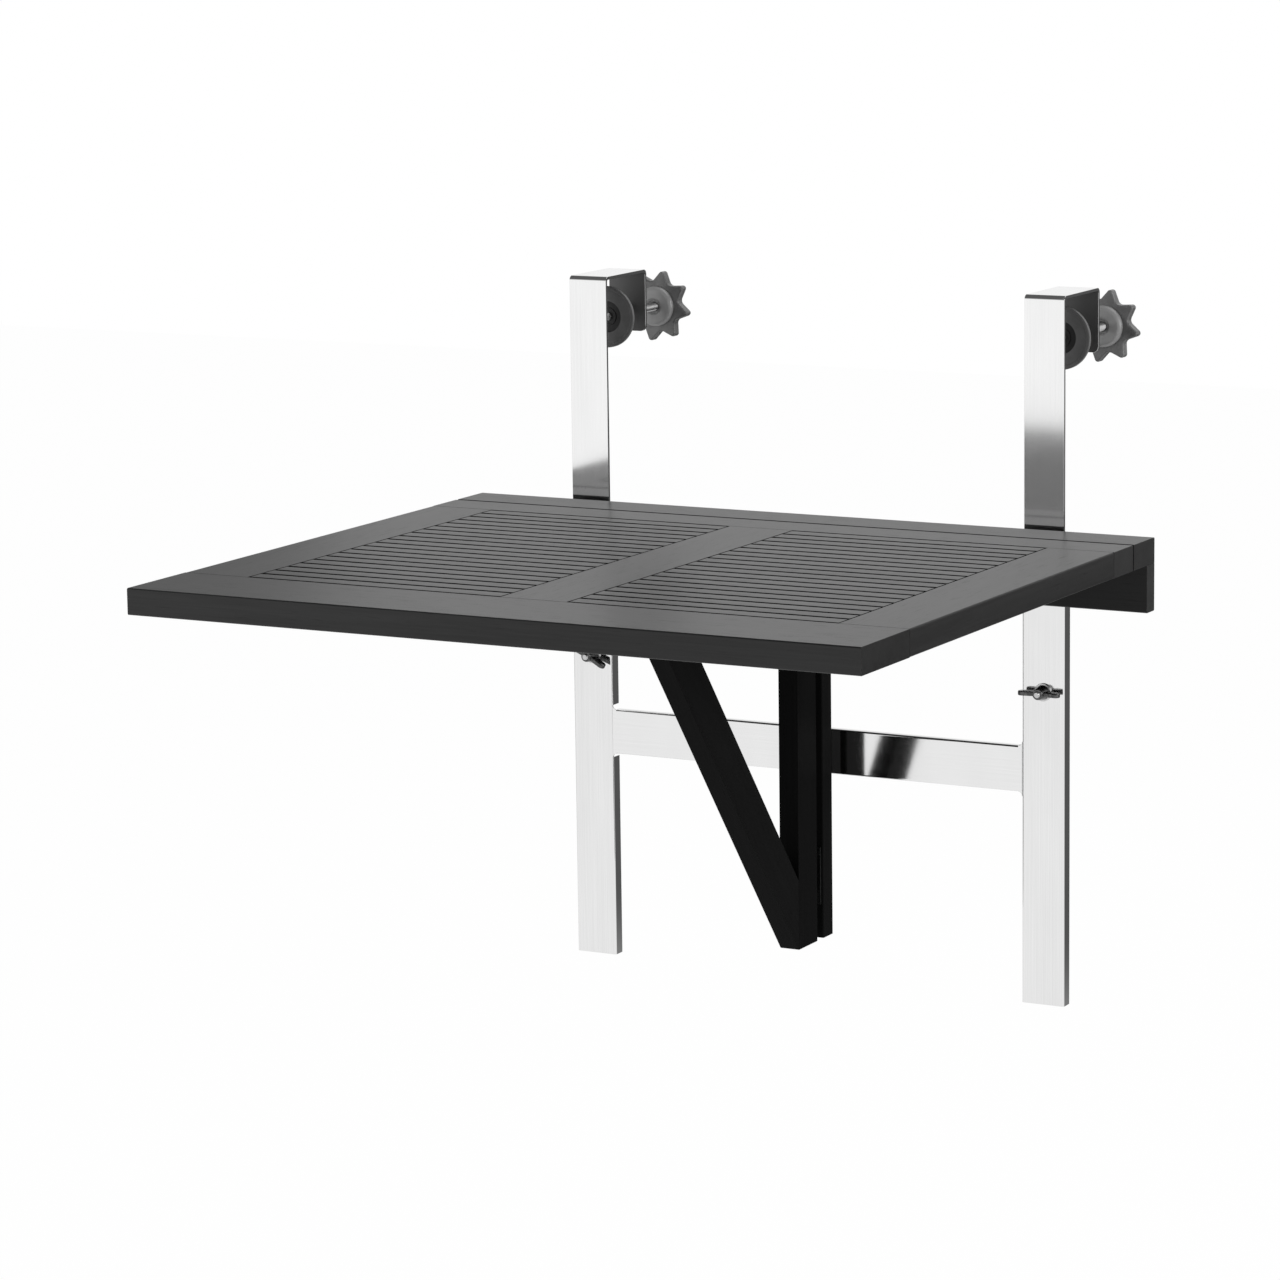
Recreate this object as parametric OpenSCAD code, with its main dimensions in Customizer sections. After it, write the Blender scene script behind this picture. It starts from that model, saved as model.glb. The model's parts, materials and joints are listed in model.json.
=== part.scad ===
// Folding balcony table that hangs on a railing by two steel hooks.
// Origin: on the front face of the railing, level with the railing's top, midway between the hooks.
// +X runs to the right along the table, +Y points over the railing, +Z points up.

/* [Table top] */
// Width of the table top, along the railing
table_w = 710; // [640:10:900]
// Thickness of the table top and of the ledger strip
top_t = 24; // [22:1:32]
// Width of the front rail
front_rail_w = 92; // [70:1:120]
// Width of the back rail
back_rail_w = 44; // [40:1:70]
// Width of the left and right stiles
stile_w = 65; // [56:1:90]
// Width of the middle stile
mid_stile_w = 65; // [56:1:90]
// Number of slats in each of the two fields
slat_count = 20; // [12:1:24]
// Width of one slat
slat_w = 19; // [15:0.5:24]
// Open gap between slats
slat_gap = 2.4; // [1.5:0.1:5]
// Thickness of a slat
slat_t = 14; // [12:1:18]
// Length of the tongue at each end of a slat
tongue_l = 8; // [5:0.5:10]
// Thickness of the tongue
tongue_t = 6; // [4:0.5:8]
// Radius of the rounded long edges of the wood
edge_r = 1.5; // [0.8:0.1:2.5]

/* [Ledger] */
// Depth of the fixed strip behind the folding panel
ledger_d = 49; // [46:1:70]
// Whole height of the ledger, from the table's surface down
ledger_h = 68; // [60:1:90]
// Thickness of the ledger's upright board
board_t = 18; // [15:1:20]
// Open seam between the ledger and the folding panel
seam = 2; // [1.6:0.1:4]

/* [Bracket] */
// Width of the bracket's posts and brace
post_w = 20; // [18:1:30]
// Depth of the swinging post
gate_d = 40; // [32:1:50]
// Depth of the fixed rear post
rear_d = 20; // [18:1:30]
// Open space between the rear post and the swinging post
post_gap = 12.4; // [12:0.1:16]
// Height of the bracket below the panel's underside
bracket_h = 385; // [300:5:400]
// Reach of the brace in front of the swinging post
brace_reach = 305; // [240:5:310]
// Thickness of the brace, square to its length
brace_d = 42; // [34:1:50]
// Place of the bracket's left face, along the table
bracket_x = 0; // [-20:1:20]

/* [Steel frame] */
// Distance between the centre lines of the two uprights
strip_spacing = 480; // [420:2:560]
// Thickness of the folded sheet
sheet_t = 1.2; // [1:0.1:1.4]
// Depth of the uprights' side flanges, outside
channel_d = 13; // [11:0.5:18]
// Distance from the table's surface to the uprights' lower ends
frame_drop = 455; // [430:5:560]
// Distance from the table's surface to the crossbar's top edge
crossbar_drop = 208; // [190:1:250]
// Height of the crossbar
crossbar_h = 44; // [36:1:60]
// Depth of the crossbar's upper and lower flanges, outside
crossbar_fold = 7; // [5:0.5:11]
// Space between the ledger's back and the uprights' front
standoff = 10; // [8:0.5:12]

/* [Hooks] */
// Width of the flat bar
strip_w = 40; // [36:1:50]
// Thickness of the flat bar
strip_t = 3; // [2.5:0.1:4]
// Inside depth of the hook, over the railing
throat = 77; // [74:1:120]
// Length of the back lip below the hook's seat
lip_h = 58; // [52:1:80]
// Outside radius of the bends in the flat bar
bend_r = 5; // [4.5:0.1:7]
// Height of the hook's seat above the table's surface
rail_drop = 213; // [190:1:260]
// How far the table can be raised from the drawn height
raise_travel = 60; // [20:5:60]
// How far the table can be lowered from the drawn height
lower_travel = 160; // [60:5:160]

/* [Clamps] */
// Diameter of the clamp spindle
spindle_d = 8; // [6:0.5:10]
// Distance from the hook's seat down to the spindle
spindle_drop = 40; // [32:1:42]
// Diameter of the pressure disc
disc_d = 60; // [44:1:62]
// Distance from the railing's front face to the pressure disc
disc_y = 33; // [28:1:34]
// Diameter over the tips of the star knob
knob_d = 70; // [56:1:76]
// Diameter at the valleys between the star knob's points
knob_valley_d = 51; // [42:1:54]
// Number of points on the star knob
knob_points = 8; // [6:1:10]
// Thickness of the star knob's points
knob_t = 10; // [8:0.5:12]
// Distance from the pressure disc's face to the star knob
knob_reach = 103; // [92:1:130]

/* [Wing nuts] */
// Diameter of the lock bolts
bolt_d = 6; // [5:0.5:8]
// Distance from the table's surface down to the lock bolts
bolt_drop = 155; // [120:1:165]
// Distance between the tips of a wing nut's wings
wing_span = 42; // [32:1:48]
// Angle of the left wing nut's wings, in degrees
left_wing_turn = 27; // [-90:1:90]

/* [Hidden] */
$fn = 64;

// Overrun of every cut past the face that it opens
cut = 1;
// Clearance between faces of different moving pieces
move_gap = 0.3;
// Clearance of a glued or screwed fit
fit_gap = 0.1;
// Radial clearance of a pin or spindle that turns
turn_gap = 0.05;
// Radial clearance of a bolt in a plain hole
bolt_play = 0.2;
// Clearance at a slat's shoulders
shoulder_gap = 0.4;
// Clearance beside the flat bar in its channel
side_gap = 0.25;

// Depth of one slat field, with a gap before and after each slat
field_d = slat_count * slat_w + (slat_count + 1) * slat_gap;
panel_d = front_rail_w + field_d + back_rail_w;
slat_pitch = slat_w + slat_gap;
slat_edge_r = 1;

// Depth places: the flat bar's back face is at 0
web_back_y = -strip_t - move_gap;
web_y = web_back_y - sheet_t;
ledger_back_y = web_y - standoff;
ledger_front_y = ledger_back_y - ledger_d;
board_front_y = ledger_back_y - board_t;
panel_back_y = ledger_front_y - seam;
field_back_y = panel_back_y - back_rail_w;
field_front_y = field_back_y - field_d;
panel_front_y = field_front_y - front_rail_w;

// Height places: the hook's seat is at 0
top_z = -rail_drop;
under_z = top_z - top_t;
ledger_foot_z = top_z - ledger_h;
bolt_z = top_z - bolt_drop;
crossbar_top_z = top_z - crossbar_drop;
crossbar_foot_z = crossbar_top_z - crossbar_h;
frame_foot_z = top_z - frame_drop;
// Distance from the table's surface to the uprights' upper ends
frame_head_drop = 6;
frame_head_z = top_z - frame_head_drop;

strip_x = strip_spacing / 2;
half_w = table_w / 2;
half_mid = mid_stile_w / 2;
field_out_x = half_w - stile_w;

// Dowels
dowel_d = 8;
dowel_l = 40;
dowel_share = 0.25;
ledger_dowel_l = 30;
ledger_dowel_shares = [-0.42, -0.22, 0.22, 0.42];

// Panel hinges
hinge_x_share = 0.28;
hinge_l = 64;
hinge_leaf_w = 28;
hinge_leaf_t = 2;
hinge_r = 3.5;
hinge_pin_d = 4;
hinge_axis_drop = 4;
panel_axis_y = ledger_front_y - seam / 2;
panel_axis_z = under_z - hinge_axis_drop;
pin_head_d = 5.6;
pin_head_t = 1;

// Bracket places
gate_gap_y = post_gap / 2;
rear_back_y = web_y;
rear_front_y = rear_back_y - rear_d;
bracket_axis_y = rear_front_y - gate_gap_y;
gate_back_y = rear_front_y - post_gap;
gate_front_y = gate_back_y - gate_d;
bracket_top_z = under_z - move_gap;
bracket_foot_z = under_z - bracket_h;
brace_tip_y = gate_front_y - brace_reach;
brace_rise = bracket_top_z - bracket_foot_z;
brace_len = sqrt(brace_rise * brace_rise + brace_reach * brace_reach);
brace_foot_h = brace_d * brace_len / brace_reach;
brace_head_w = brace_d * brace_len / brace_rise;
brace_dowel_shares = [0.52, 0.84];

// Bracket hinges
gate_leaf_l = 56;
gate_leaf_w = 18;
gate_knuckle_r = 5.5;
gate_pin_d = 6;
gate_pin_head_d = 8.4;
gate_axis_out = 4;
bracket_axis_x = bracket_x - gate_axis_out;
gate_hinge_shares = [0.16, 0.82];

// Wood screws in the hinges
screw_d = 3.2;
screw_head_d = 6.4;
screw_head_h = 1.6;
screw_l = 14;
gate_screw_l = 13;

// Uprights
channel_w = strip_w + 2 * side_gap + 2 * sheet_t;
fold_r = 2;
relief_h = 4;
inner_web_x = strip_x - channel_w / 2;
lock_hole_d = bolt_d + 2 * bolt_play;

// Screws that hold the rear post
post_screw_d = 4.5;
post_screw_head_d = 9;
post_screw_head_h = 2.6;
post_screw_l = 17;
board_screw_l = 24;
post_screw_share = 0.27;

// Studs that hold the ledger
stud_d = 6;
stud_spread = 22;
stud_drop_share = 0.34;
stud_tail = 8;
spacer_d = 12;
nut_af = 10;
nut_t = 5;
washer_t = 1.6;
stud_z = under_z - (ledger_h - top_t) * stud_drop_share;

// Hook
inner_bend_r = bend_r - strip_t;
slot_w = bolt_d + 2 * move_gap;
slot_top_z = bolt_z + raise_travel + bolt_d / 2 + move_gap;
slot_foot_z = bolt_z - lower_travel - bolt_d / 2 - move_gap;
strip_tail = 18;
strip_foot_z = slot_foot_z - strip_tail;
lip_corner_r = 6;
lip_y = throat;
spindle_z = -spindle_drop;

// Clamp parts
spindle_r = spindle_d / 2;
disc_rim_t = 3.5;
disc_dish = 1.6;
disc_well_r = 16;
disc_well_d = 5;
disc_floor_t = 2.5;
disc_hub_r = 18;
disc_lip_r = 0.9;
neck_r = spindle_r * 0.75;
rivet_t = 2;
knob_y = disc_y + knob_reach;
knob_tip_r = 3;
knob_valley_r = 5;
knob_root_r = knob_valley_d / 2;
knob_half_turn = 180 / knob_points;
// Centres of the tip arcs and of the valley arcs, from the knob's axis
knob_tip_at = knob_d / 2 - knob_tip_r;
knob_valley_at = knob_root_r + knob_valley_r;
// Way from a tip's centre to the next valley's centre
knob_step_x = knob_valley_at * cos(knob_half_turn) - knob_tip_at;
knob_step_y = knob_valley_at * sin(knob_half_turn);
knob_step = sqrt(knob_step_x * knob_step_x + knob_step_y * knob_step_y);
// Direction square to the straight flank between them
knob_flank_turn = atan2(knob_step_y, knob_step_x) - acos((knob_tip_r + knob_valley_r) / knob_step);
knob_boss_r = 20;
knob_boss_h = 6;
knob_boss_round = 4.5;
knob_dish_r = 8.5;
knob_dish_foot_r = 6;
knob_back_r = 19;
knob_back_h = 4;
knob_turn = 11;
clamp_nut_af = 13;
clamp_nut_t = 6.5;

// Wing nut and lock bolt
bolt_r = bolt_d / 2;
lock_washer_r = 8.5;
lock_washer_t = 1.6;
hub_foot_r = 7;
hub_head_r = 5;
hub_h = 12.6;
wing_t = 3.4;
wing_tip_r = 4.2;
wing_tip_h = 8.2;
wing_foot_h = 1;
wing_head_drop = 2;
bolt_tail = 2;
bolt_head_r = 7;
bolt_head_h = 2.2;
bolt_dome_h = 1;

// A bar along X, from x0 to x1, whose section is a rectangle in Y and Z.
// Each corner radius is given as [back top, back foot, front foot, front top].
module bar_x(x0, x1, y0, y1, z0, z1, radii = [0, 0, 0, 0]) {
    translate([x0, 0, 0])
        rotate([90, 0, 90])
            linear_extrude(height = x1 - x0)
                eased_rect(y0, y1, z0, z1, radii);
}

// A rectangle with corners [x1 y1, x1 y0, x0 y0, x0 y1] cut to a radius, in true arcs
module eased_rect(x0, x1, y0, y1, radii) {
    spots = [[x1, y1], [x1, y0], [x0, y0], [x0, y1]];
    signs = [[-1, -1], [-1, 1], [1, 1], [1, -1]];
    difference() {
        translate([x0, y0])
            square([x1 - x0, y1 - y0]);
        for (i = [0:3])
            if (radii[i] > 0)
                translate(spots[i])
                    corner_waste(radii[i], signs[i]);
    }
}

// What is taken off a corner so that an arc is left, the corner being at the origin
module corner_waste(r, s) {
    difference() {
        translate([s[0] > 0 ? -cut : -r, s[1] > 0 ? -cut : -r])
            square([r + cut, r + cut]);
        translate([s[0] * r, s[1] * r])
            circle(r = r);
    }
}

// A bar along Y with its section in X and Z
module bar_y(x0, x1, y0, y1, z0, z1, radii = [0, 0, 0, 0]) {
    translate([0, y1, 0])
        rotate([90, 0, 0])
            linear_extrude(height = y1 - y0)
                eased_rect(x0, x1, z0, z1, radii);
}

// A bar along Z with its section in X and Y
module bar_z(x0, x1, y0, y1, z0, z1, radii = [0, 0, 0, 0]) {
    translate([0, 0, z0])
        linear_extrude(height = z1 - z0)
            eased_rect(x0, x1, y0, y1, radii);
}

// A cylinder along Y from y0 to y1
module rod_y(r, y0, y1) {
    translate([0, y1, 0])
        rotate([90, 0, 0])
            cylinder(r = r, h = y1 - y0);
}

// The panel: two rails, three stiles and two fields of slats

// Places of the two dowels of one stile end, across the stile
function dowel_xs(xc, w) = [xc - w * dowel_share, xc + w * dowel_share];
all_dowel_xs = concat(
    dowel_xs(-half_w + stile_w / 2, stile_w),
    dowel_xs(0, mid_stile_w),
    dowel_xs(half_w - stile_w / 2, stile_w)
);

module dowel_holes_y(xs, y) {
    for (x = xs)
        translate([x, 0, top_z - top_t / 2])
            rod_y(dowel_d / 2, y - dowel_l / 2, y + dowel_l / 2);
}

module front_rail() {
    color("dimgray")
        difference() {
            bar_x(-half_w, half_w, panel_front_y, field_front_y, under_z, top_z, [0, 0, edge_r, edge_r]);
            dowel_holes_y(all_dowel_xs, field_front_y);
        }
}

module back_rail() {
    color("dimgray")
        difference() {
            bar_x(-half_w, half_w, field_back_y, panel_back_y, under_z, top_z, [slat_edge_r, 0, 0, 0]);
            dowel_holes_y(all_dowel_xs, field_back_y);
            for (x = panel_hinge_xs)
                translate([x, panel_axis_y, panel_axis_z])
                    mirror([0, 1, 0])
                        leaf_pilot_holes();
        }
}

// The groove that takes the slats' tongues, cut into the face at x0 towards x1
module tongue_groove(x0, x1) {
    z = top_z - slat_t / 2;
    translate([min(x0, x1), field_front_y - cut, z - tongue_t / 2 - fit_gap])
        cube([abs(x1 - x0), field_d + 2 * cut, tongue_t + 2 * fit_gap]);
}

module stile(x0, x1, radii, groove_low, groove_high) {
    color("dimgray")
        difference() {
            bar_y(x0, x1, field_front_y, field_back_y, under_z, top_z, radii);
            if (groove_low)
                tongue_groove(x0 - cut, x0 + tongue_l);
            if (groove_high)
                tongue_groove(x1 - tongue_l, x1 + cut);
            dowel_holes_y(dowel_xs((x0 + x1) / 2, x1 - x0), field_front_y);
            dowel_holes_y(dowel_xs((x0 + x1) / 2, x1 - x0), field_back_y);
        }
}

module left_stile() {
    stile(-half_w, -field_out_x, [0, 0, edge_r, edge_r], false, true);
}

module right_stile() {
    stile(field_out_x, half_w, [edge_r, edge_r, 0, 0], true, false);
}

module middle_stile() {
    stile(-half_mid, half_mid, [0, 0, 0, 0], true, true);
}

// One field of slats between x0 and x1, with tongues that reach into the stiles
module slat_field(x0, x1) {
    tongue_z = top_z - slat_t / 2;
    reach = tongue_l - shoulder_gap;
    color("gray")
        for (i = [0:slat_count - 1]) {
            y0 = field_front_y + slat_gap + i * slat_pitch;
            union() {
                bar_x(x0 + shoulder_gap, x1 - shoulder_gap, y0, y0 + slat_w, top_z - slat_t, top_z,
                      [slat_edge_r, 0, 0, slat_edge_r]);
                translate([x0 - reach, y0, tongue_z - tongue_t / 2])
                    cube([x1 - x0 + 2 * reach, slat_w, tongue_t]);
            }
        }
}

module slats_left() {
    slat_field(-field_out_x, -half_mid);
}

module slats_right() {
    slat_field(half_mid, field_out_x);
}

module panel_dowels() {
    color("burlywood")
        for (y = [field_front_y, field_back_y])
            for (x = all_dowel_xs)
                translate([x, 0, top_z - top_t / 2])
                    rod_y(dowel_d / 2 - fit_gap, y - dowel_l / 2 + fit_gap, y + dowel_l / 2 - fit_gap);
}

// The ledger: the fixed strip and the board under it

module ledger_dowel_set(r, l) {
    for (s = ledger_dowel_shares)
        translate([s * table_w, ledger_back_y - board_t / 2, under_z - l / 2])
            cylinder(r = r, h = l);
}

module ledger_strip() {
    color("dimgray")
        difference() {
            bar_x(-half_w, half_w, ledger_front_y, ledger_back_y, under_z, top_z, [edge_r, 0, 0, slat_edge_r]);
            ledger_dowel_set(dowel_d / 2, ledger_dowel_l);
            for (x = panel_hinge_xs)
                translate([x, panel_axis_y, panel_axis_z])
                    leaf_pilot_holes();
        }
}

module ledger_board() {
    color("dimgray")
        difference() {
            bar_x(-half_w, half_w, board_front_y, ledger_back_y, ledger_foot_z, under_z, [0, edge_r, edge_r, 0]);
            ledger_dowel_set(dowel_d / 2, ledger_dowel_l);
            for (p = stud_spots)
                translate([p, 0, stud_z])
                    rod_y(stud_d / 2 + fit_gap, board_front_y - cut, ledger_back_y + cut);
            translate([bracket_x + post_w / 2, 0, board_screw_z])
                rod_y(post_screw_d / 2, ledger_back_y + standoff - board_screw_l, ledger_back_y + cut);
        }
}

module ledger_dowels() {
    color("burlywood")
        for (s = ledger_dowel_shares)
            translate([s * table_w, ledger_back_y - board_t / 2, under_z - ledger_dowel_l / 2 + fit_gap])
                cylinder(r = dowel_d / 2 - fit_gap, h = ledger_dowel_l - 2 * fit_gap);
}

// Studs welded to the uprights carry the ledger on spacers
stud_spots = [
    -strip_x - stud_spread / 2, -strip_x + stud_spread / 2,
    strip_x - stud_spread / 2, strip_x + stud_spread / 2
];
stud_end_y = board_front_y - washer_t - nut_t - stud_tail;

module ledger_studs() {
    color("silver")
        for (x = stud_spots)
            translate([x, 0, stud_z])
                rod_y(stud_d / 2, stud_end_y, web_y);
}

module ledger_spacers() {
    color("gainsboro")
        for (x = stud_spots)
            translate([x, 0, stud_z])
                difference() {
                    rod_y(spacer_d / 2, ledger_back_y, web_y);
                    rod_y(stud_d / 2 + fit_gap, ledger_back_y - cut, web_y + cut);
                }
}

module ledger_nuts() {
    color("silver")
        for (x = stud_spots)
            translate([x, 0, stud_z])
                difference() {
                    union() {
                        rod_y(spacer_d / 2, board_front_y - washer_t, board_front_y);
                        translate([0, board_front_y - washer_t, 0])
                            rotate([90, 0, 0])
                                cylinder(d = nut_af / cos(30), h = nut_t, $fn = 6);
                    }
                    rod_y(stud_d / 2 + fit_gap, board_front_y - washer_t - nut_t - cut, board_front_y + cut);
                }
}

// The folded steel frame

// Section of an upright with true arcs at its two folds, centred on X
module channel_section() {
    w = channel_w / 2;
    back = web_y + channel_d;
    difference() {
        eased_rect(-w, w, web_y, back, [0, fold_r, fold_r, 0]);
        eased_rect(-w + sheet_t, w - sheet_t, web_back_y, back + cut, [0, fold_r - sheet_t, fold_r - sheet_t, 0]);
    }
}

// One upright; side is 1 for the right one and -1 for the left one
module upright(side) {
    w = channel_w / 2;
    color("lightgray")
        translate([side * strip_x, 0, 0])
            difference() {
                union() {
                    difference() {
                        translate([0, 0, frame_foot_z])
                            linear_extrude(height = frame_head_z - frame_foot_z)
                                channel_section();
                        // The inner flange stops above and below the crossbar
                        translate([side > 0 ? -w - cut : w - fold_r, web_y - cut, crossbar_foot_z - relief_h])
                            cube([fold_r + cut, channel_d + 2 * cut, crossbar_h + 2 * relief_h]);
                    }
                    // The web runs on flat into the crossbar
                    translate([side > 0 ? -w : w - fold_r, web_y, crossbar_foot_z - relief_h])
                        cube([fold_r, sheet_t, crossbar_h + 2 * relief_h]);
                }
                translate([0, 0, bolt_z])
                    rod_y(lock_hole_d / 2, web_y - cut, web_back_y + cut);
            }
}

module left_upright() {
    upright(-1);
}

module right_upright() {
    upright(1);
}

// A gusset that rounds the inner corner between crossbar and upright
module corner_fillet() {
    difference() {
        square([relief_h, relief_h]);
        translate([relief_h, relief_h])
            circle(r = relief_h);
    }
}

// Section of the crossbar in Y and Z, with its two flanges folded to the back
module crossbar_section() {
    back = web_y + crossbar_fold;
    difference() {
        eased_rect(web_y, back, crossbar_foot_z, crossbar_top_z, [0, 0, fold_r, fold_r]);
        eased_rect(web_back_y, back + cut, crossbar_foot_z + sheet_t, crossbar_top_z - sheet_t,
                   [0, 0, fold_r - sheet_t, fold_r - sheet_t]);
    }
}

// One flat end of the crossbar, rounded into the upright above and below
module crossbar_end() {
    translate([0, web_back_y, 0])
        rotate([90, 0, 0])
            linear_extrude(height = sheet_t)
                union() {
                    translate([-inner_web_x, crossbar_foot_z])
                        square([relief_h, crossbar_h]);
                    translate([-inner_web_x, crossbar_top_z])
                        corner_fillet();
                    translate([-inner_web_x, crossbar_foot_z])
                        mirror([0, 1])
                            corner_fillet();
                }
}

module crossbar() {
    run = inner_web_x - relief_h;
    color("lightgray")
        difference() {
            union() {
                translate([-run, 0, 0])
                    rotate([90, 0, 90])
                        linear_extrude(height = 2 * run)
                            crossbar_section();
                crossbar_end();
                mirror([1, 0, 0])
                    crossbar_end();
            }
            for (z = crossbar_screw_zs)
                translate([bracket_x + post_w / 2, 0, z])
                    rod_y(post_screw_d / 2 + fit_gap, web_y - cut, web_back_y + cut);
        }
}

crossbar_screw_zs = [
    crossbar_top_z - crossbar_h * post_screw_share,
    crossbar_foot_z + crossbar_h * post_screw_share
];
board_screw_z = under_z - (ledger_h - top_t) / 2;

module rear_post() {
    color("dimgray")
        difference() {
            bar_z(bracket_x, bracket_x + post_w, rear_front_y, rear_back_y, bracket_foot_z, under_z,
                  [0, edge_r, edge_r, 0]);
            // The upper end is cut to a tongue that laps behind the ledger's board
            translate([bracket_x - cut, rear_front_y - cut, ledger_foot_z])
                cube([post_w + 2 * cut, rear_d - standoff + cut, ledger_h]);
            for (z = crossbar_screw_zs)
                translate([bracket_x + post_w / 2, 0, z])
                    rod_y(post_screw_d / 2, rear_back_y - post_screw_l + sheet_t, rear_back_y + cut);
            translate([bracket_x + post_w / 2, 0, board_screw_z])
                rod_y(post_screw_d / 2 + fit_gap, ledger_back_y - cut, rear_back_y + cut);
            for (z = gate_hinge_zs)
                translate([bracket_axis_x, bracket_axis_y, z])
                    gate_pilot_holes();
        }
}

// A pan-head screw along Y, its head's bearing face at y0 and its shank running to -Y
module pan_screw(y0, l) {
    union() {
        rod_y(post_screw_d / 2 - fit_gap, y0 - l + fit_gap, y0);
        rod_y(post_screw_head_d / 2, y0, y0 + post_screw_head_h);
    }
}

module post_screws() {
    color("silver") {
        for (z = crossbar_screw_zs)
            translate([bracket_x + post_w / 2, 0, z])
                pan_screw(web_back_y, post_screw_l);
        translate([bracket_x + post_w / 2, 0, board_screw_z])
            pan_screw(rear_back_y, board_screw_l);
    }
}

// The swinging bracket: gate post and brace

brace_dowel_zs = [for (s = brace_dowel_shares) bracket_foot_z + brace_foot_h * s];

module brace_dowel_set(r, l) {
    for (z = brace_dowel_zs)
        translate([bracket_x + post_w / 2, 0, z])
            rod_y(r, gate_front_y - l / 2, gate_front_y + l / 2);
}

module gate_post() {
    color("dimgray")
        difference() {
            bar_z(bracket_x, bracket_x + post_w, gate_front_y, gate_back_y, bracket_foot_z, bracket_top_z,
                  [edge_r, 0, 0, edge_r]);
            brace_dowel_set(dowel_d / 2, dowel_l);
            for (z = gate_hinge_zs)
                translate([bracket_axis_x, bracket_axis_y, z])
                    mirror([0, 1, 0])
                        gate_pilot_holes();
        }
}

module brace() {
    color("dimgray")
        difference() {
            translate([bracket_x, 0, 0])
                rotate([90, 0, 90])
                    linear_extrude(height = post_w)
                        polygon([
                            [gate_front_y, bracket_foot_z],
                            [gate_front_y, bracket_foot_z + brace_foot_h],
                            [brace_tip_y + brace_head_w, bracket_top_z],
                            [brace_tip_y, bracket_top_z]
                        ]);
            brace_dowel_set(dowel_d / 2, dowel_l);
        }
}

module brace_dowels() {
    color("burlywood")
        brace_dowel_set(dowel_d / 2 - fit_gap, dowel_l - 2 * fit_gap);
}

// Hinges

panel_hinge_xs = [-table_w * hinge_x_share, table_w * hinge_x_share];
gate_hinge_zs = [for (s = gate_hinge_shares) ledger_foot_z - s * (ledger_foot_z - bracket_foot_z)];

// Places of a leaf's three knuckles or two knuckles, out of five along the barrel
function knuckle_shares(outer) = outer ? [0, 2, 4] : [1, 3];

// A hinge leaf with its axis along X at the origin. The wood's face is at z = lift, above the axis,
// and the plate runs out to y = w. The fixed leaf has the three outer knuckles.
module leaf(l, w, t, r, lift, pin_d, outer, screw_spots) {
    step = l / 5;
    inset = r + move_gap + t / 4;
    difference() {
        union() {
            translate([-l / 2, inset, lift - t])
                cube([l, w - inset, t]);
            for (i = knuckle_shares(outer)) {
                x0 = -l / 2 + i * step + (i == 0 ? 0 : move_gap / 2);
                x1 = -l / 2 + (i + 1) * step - (i == 4 ? 0 : move_gap / 2);
                translate([x0, 0, lift - t])
                    cube([x1 - x0, inset + t / 4, t]);
                translate([x0, 0, 0])
                    rotate([0, 90, 0])
                        cylinder(r = r, h = x1 - x0);
            }
        }
        translate([-l / 2 - cut, 0, 0])
            rotate([0, 90, 0])
                cylinder(r = pin_d / 2 + turn_gap, h = l + 2 * cut);
        // The plate stays behind the wood's face, so nothing of the barrel reaches past it
        translate([-l / 2 - cut, -r - cut, lift])
            cube([l + 2 * cut, 2 * r + w, r]);
        for (p = screw_spots)
            translate([p[0], p[1], lift - t])
                screw_shape(screw_d / 2 + fit_gap, screw_head_d / 2 + fit_gap, t + cut, cut);
    }
}

// A countersunk screw from z = 0 up, its head at the foot, with an overrun below the head
module screw_shape(shank_r, head_r, l, over) {
    union() {
        cylinder(r = shank_r, h = l);
        cylinder(r1 = head_r, r2 = shank_r, h = screw_head_h);
        if (over > 0)
            translate([0, 0, -over])
                cylinder(r = head_r, h = over);
    }
}

leaf_screw_spots = [for (s = [-0.36, 0, 0.36]) [s * hinge_l, hinge_leaf_w * (s == 0 ? 0.42 : 0.68)]];
gate_screw_spots = [for (s = [-0.34, 0.34]) [s * gate_leaf_l, gate_axis_out + post_w / 2]];

module leaf_pilot_holes() {
    for (p = leaf_screw_spots)
        translate([p[0], p[1], hinge_axis_drop - cut])
            cylinder(r = screw_d / 2, h = screw_l - hinge_leaf_t + cut);
}

module leaf_screws() {
    for (p = leaf_screw_spots)
        translate([p[0], p[1], hinge_axis_drop - hinge_leaf_t])
            screw_shape(screw_d / 2 - fit_gap, screw_head_d / 2, screw_l - fit_gap, 0);
}

module panel_leaf(outer) {
    leaf(hinge_l, hinge_leaf_w, hinge_leaf_t, hinge_r, hinge_axis_drop, hinge_pin_d, outer, leaf_screw_spots);
}

module at_panel_hinges() {
    for (x = panel_hinge_xs)
        translate([x, panel_axis_y, panel_axis_z])
            children();
}

module panel_hinge_fixed_leaves() {
    color("darkgray")
        at_panel_hinges()
            panel_leaf(true);
}

module panel_hinge_moving_leaves() {
    color("darkgray")
        at_panel_hinges()
            mirror([0, 1, 0])
                panel_leaf(false);
}

module headed_pin(r, head_r, l) {
    rotate([0, 90, 0])
        union() {
            translate([0, 0, -l / 2 - pin_head_t])
                cylinder(r = head_r, h = pin_head_t);
            translate([0, 0, -l / 2])
                cylinder(r = r, h = l);
            translate([0, 0, l / 2])
                cylinder(r = head_r, h = pin_head_t);
        }
}

module panel_hinge_pins() {
    color("silver")
        at_panel_hinges()
            headed_pin(hinge_pin_d / 2, pin_head_d / 2, hinge_l);
}

module panel_hinge_fixed_screws() {
    color("silver")
        at_panel_hinges()
            leaf_screws();
}

module panel_hinge_moving_screws() {
    color("silver")
        at_panel_hinges()
            mirror([0, 1, 0])
                leaf_screws();
}

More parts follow.
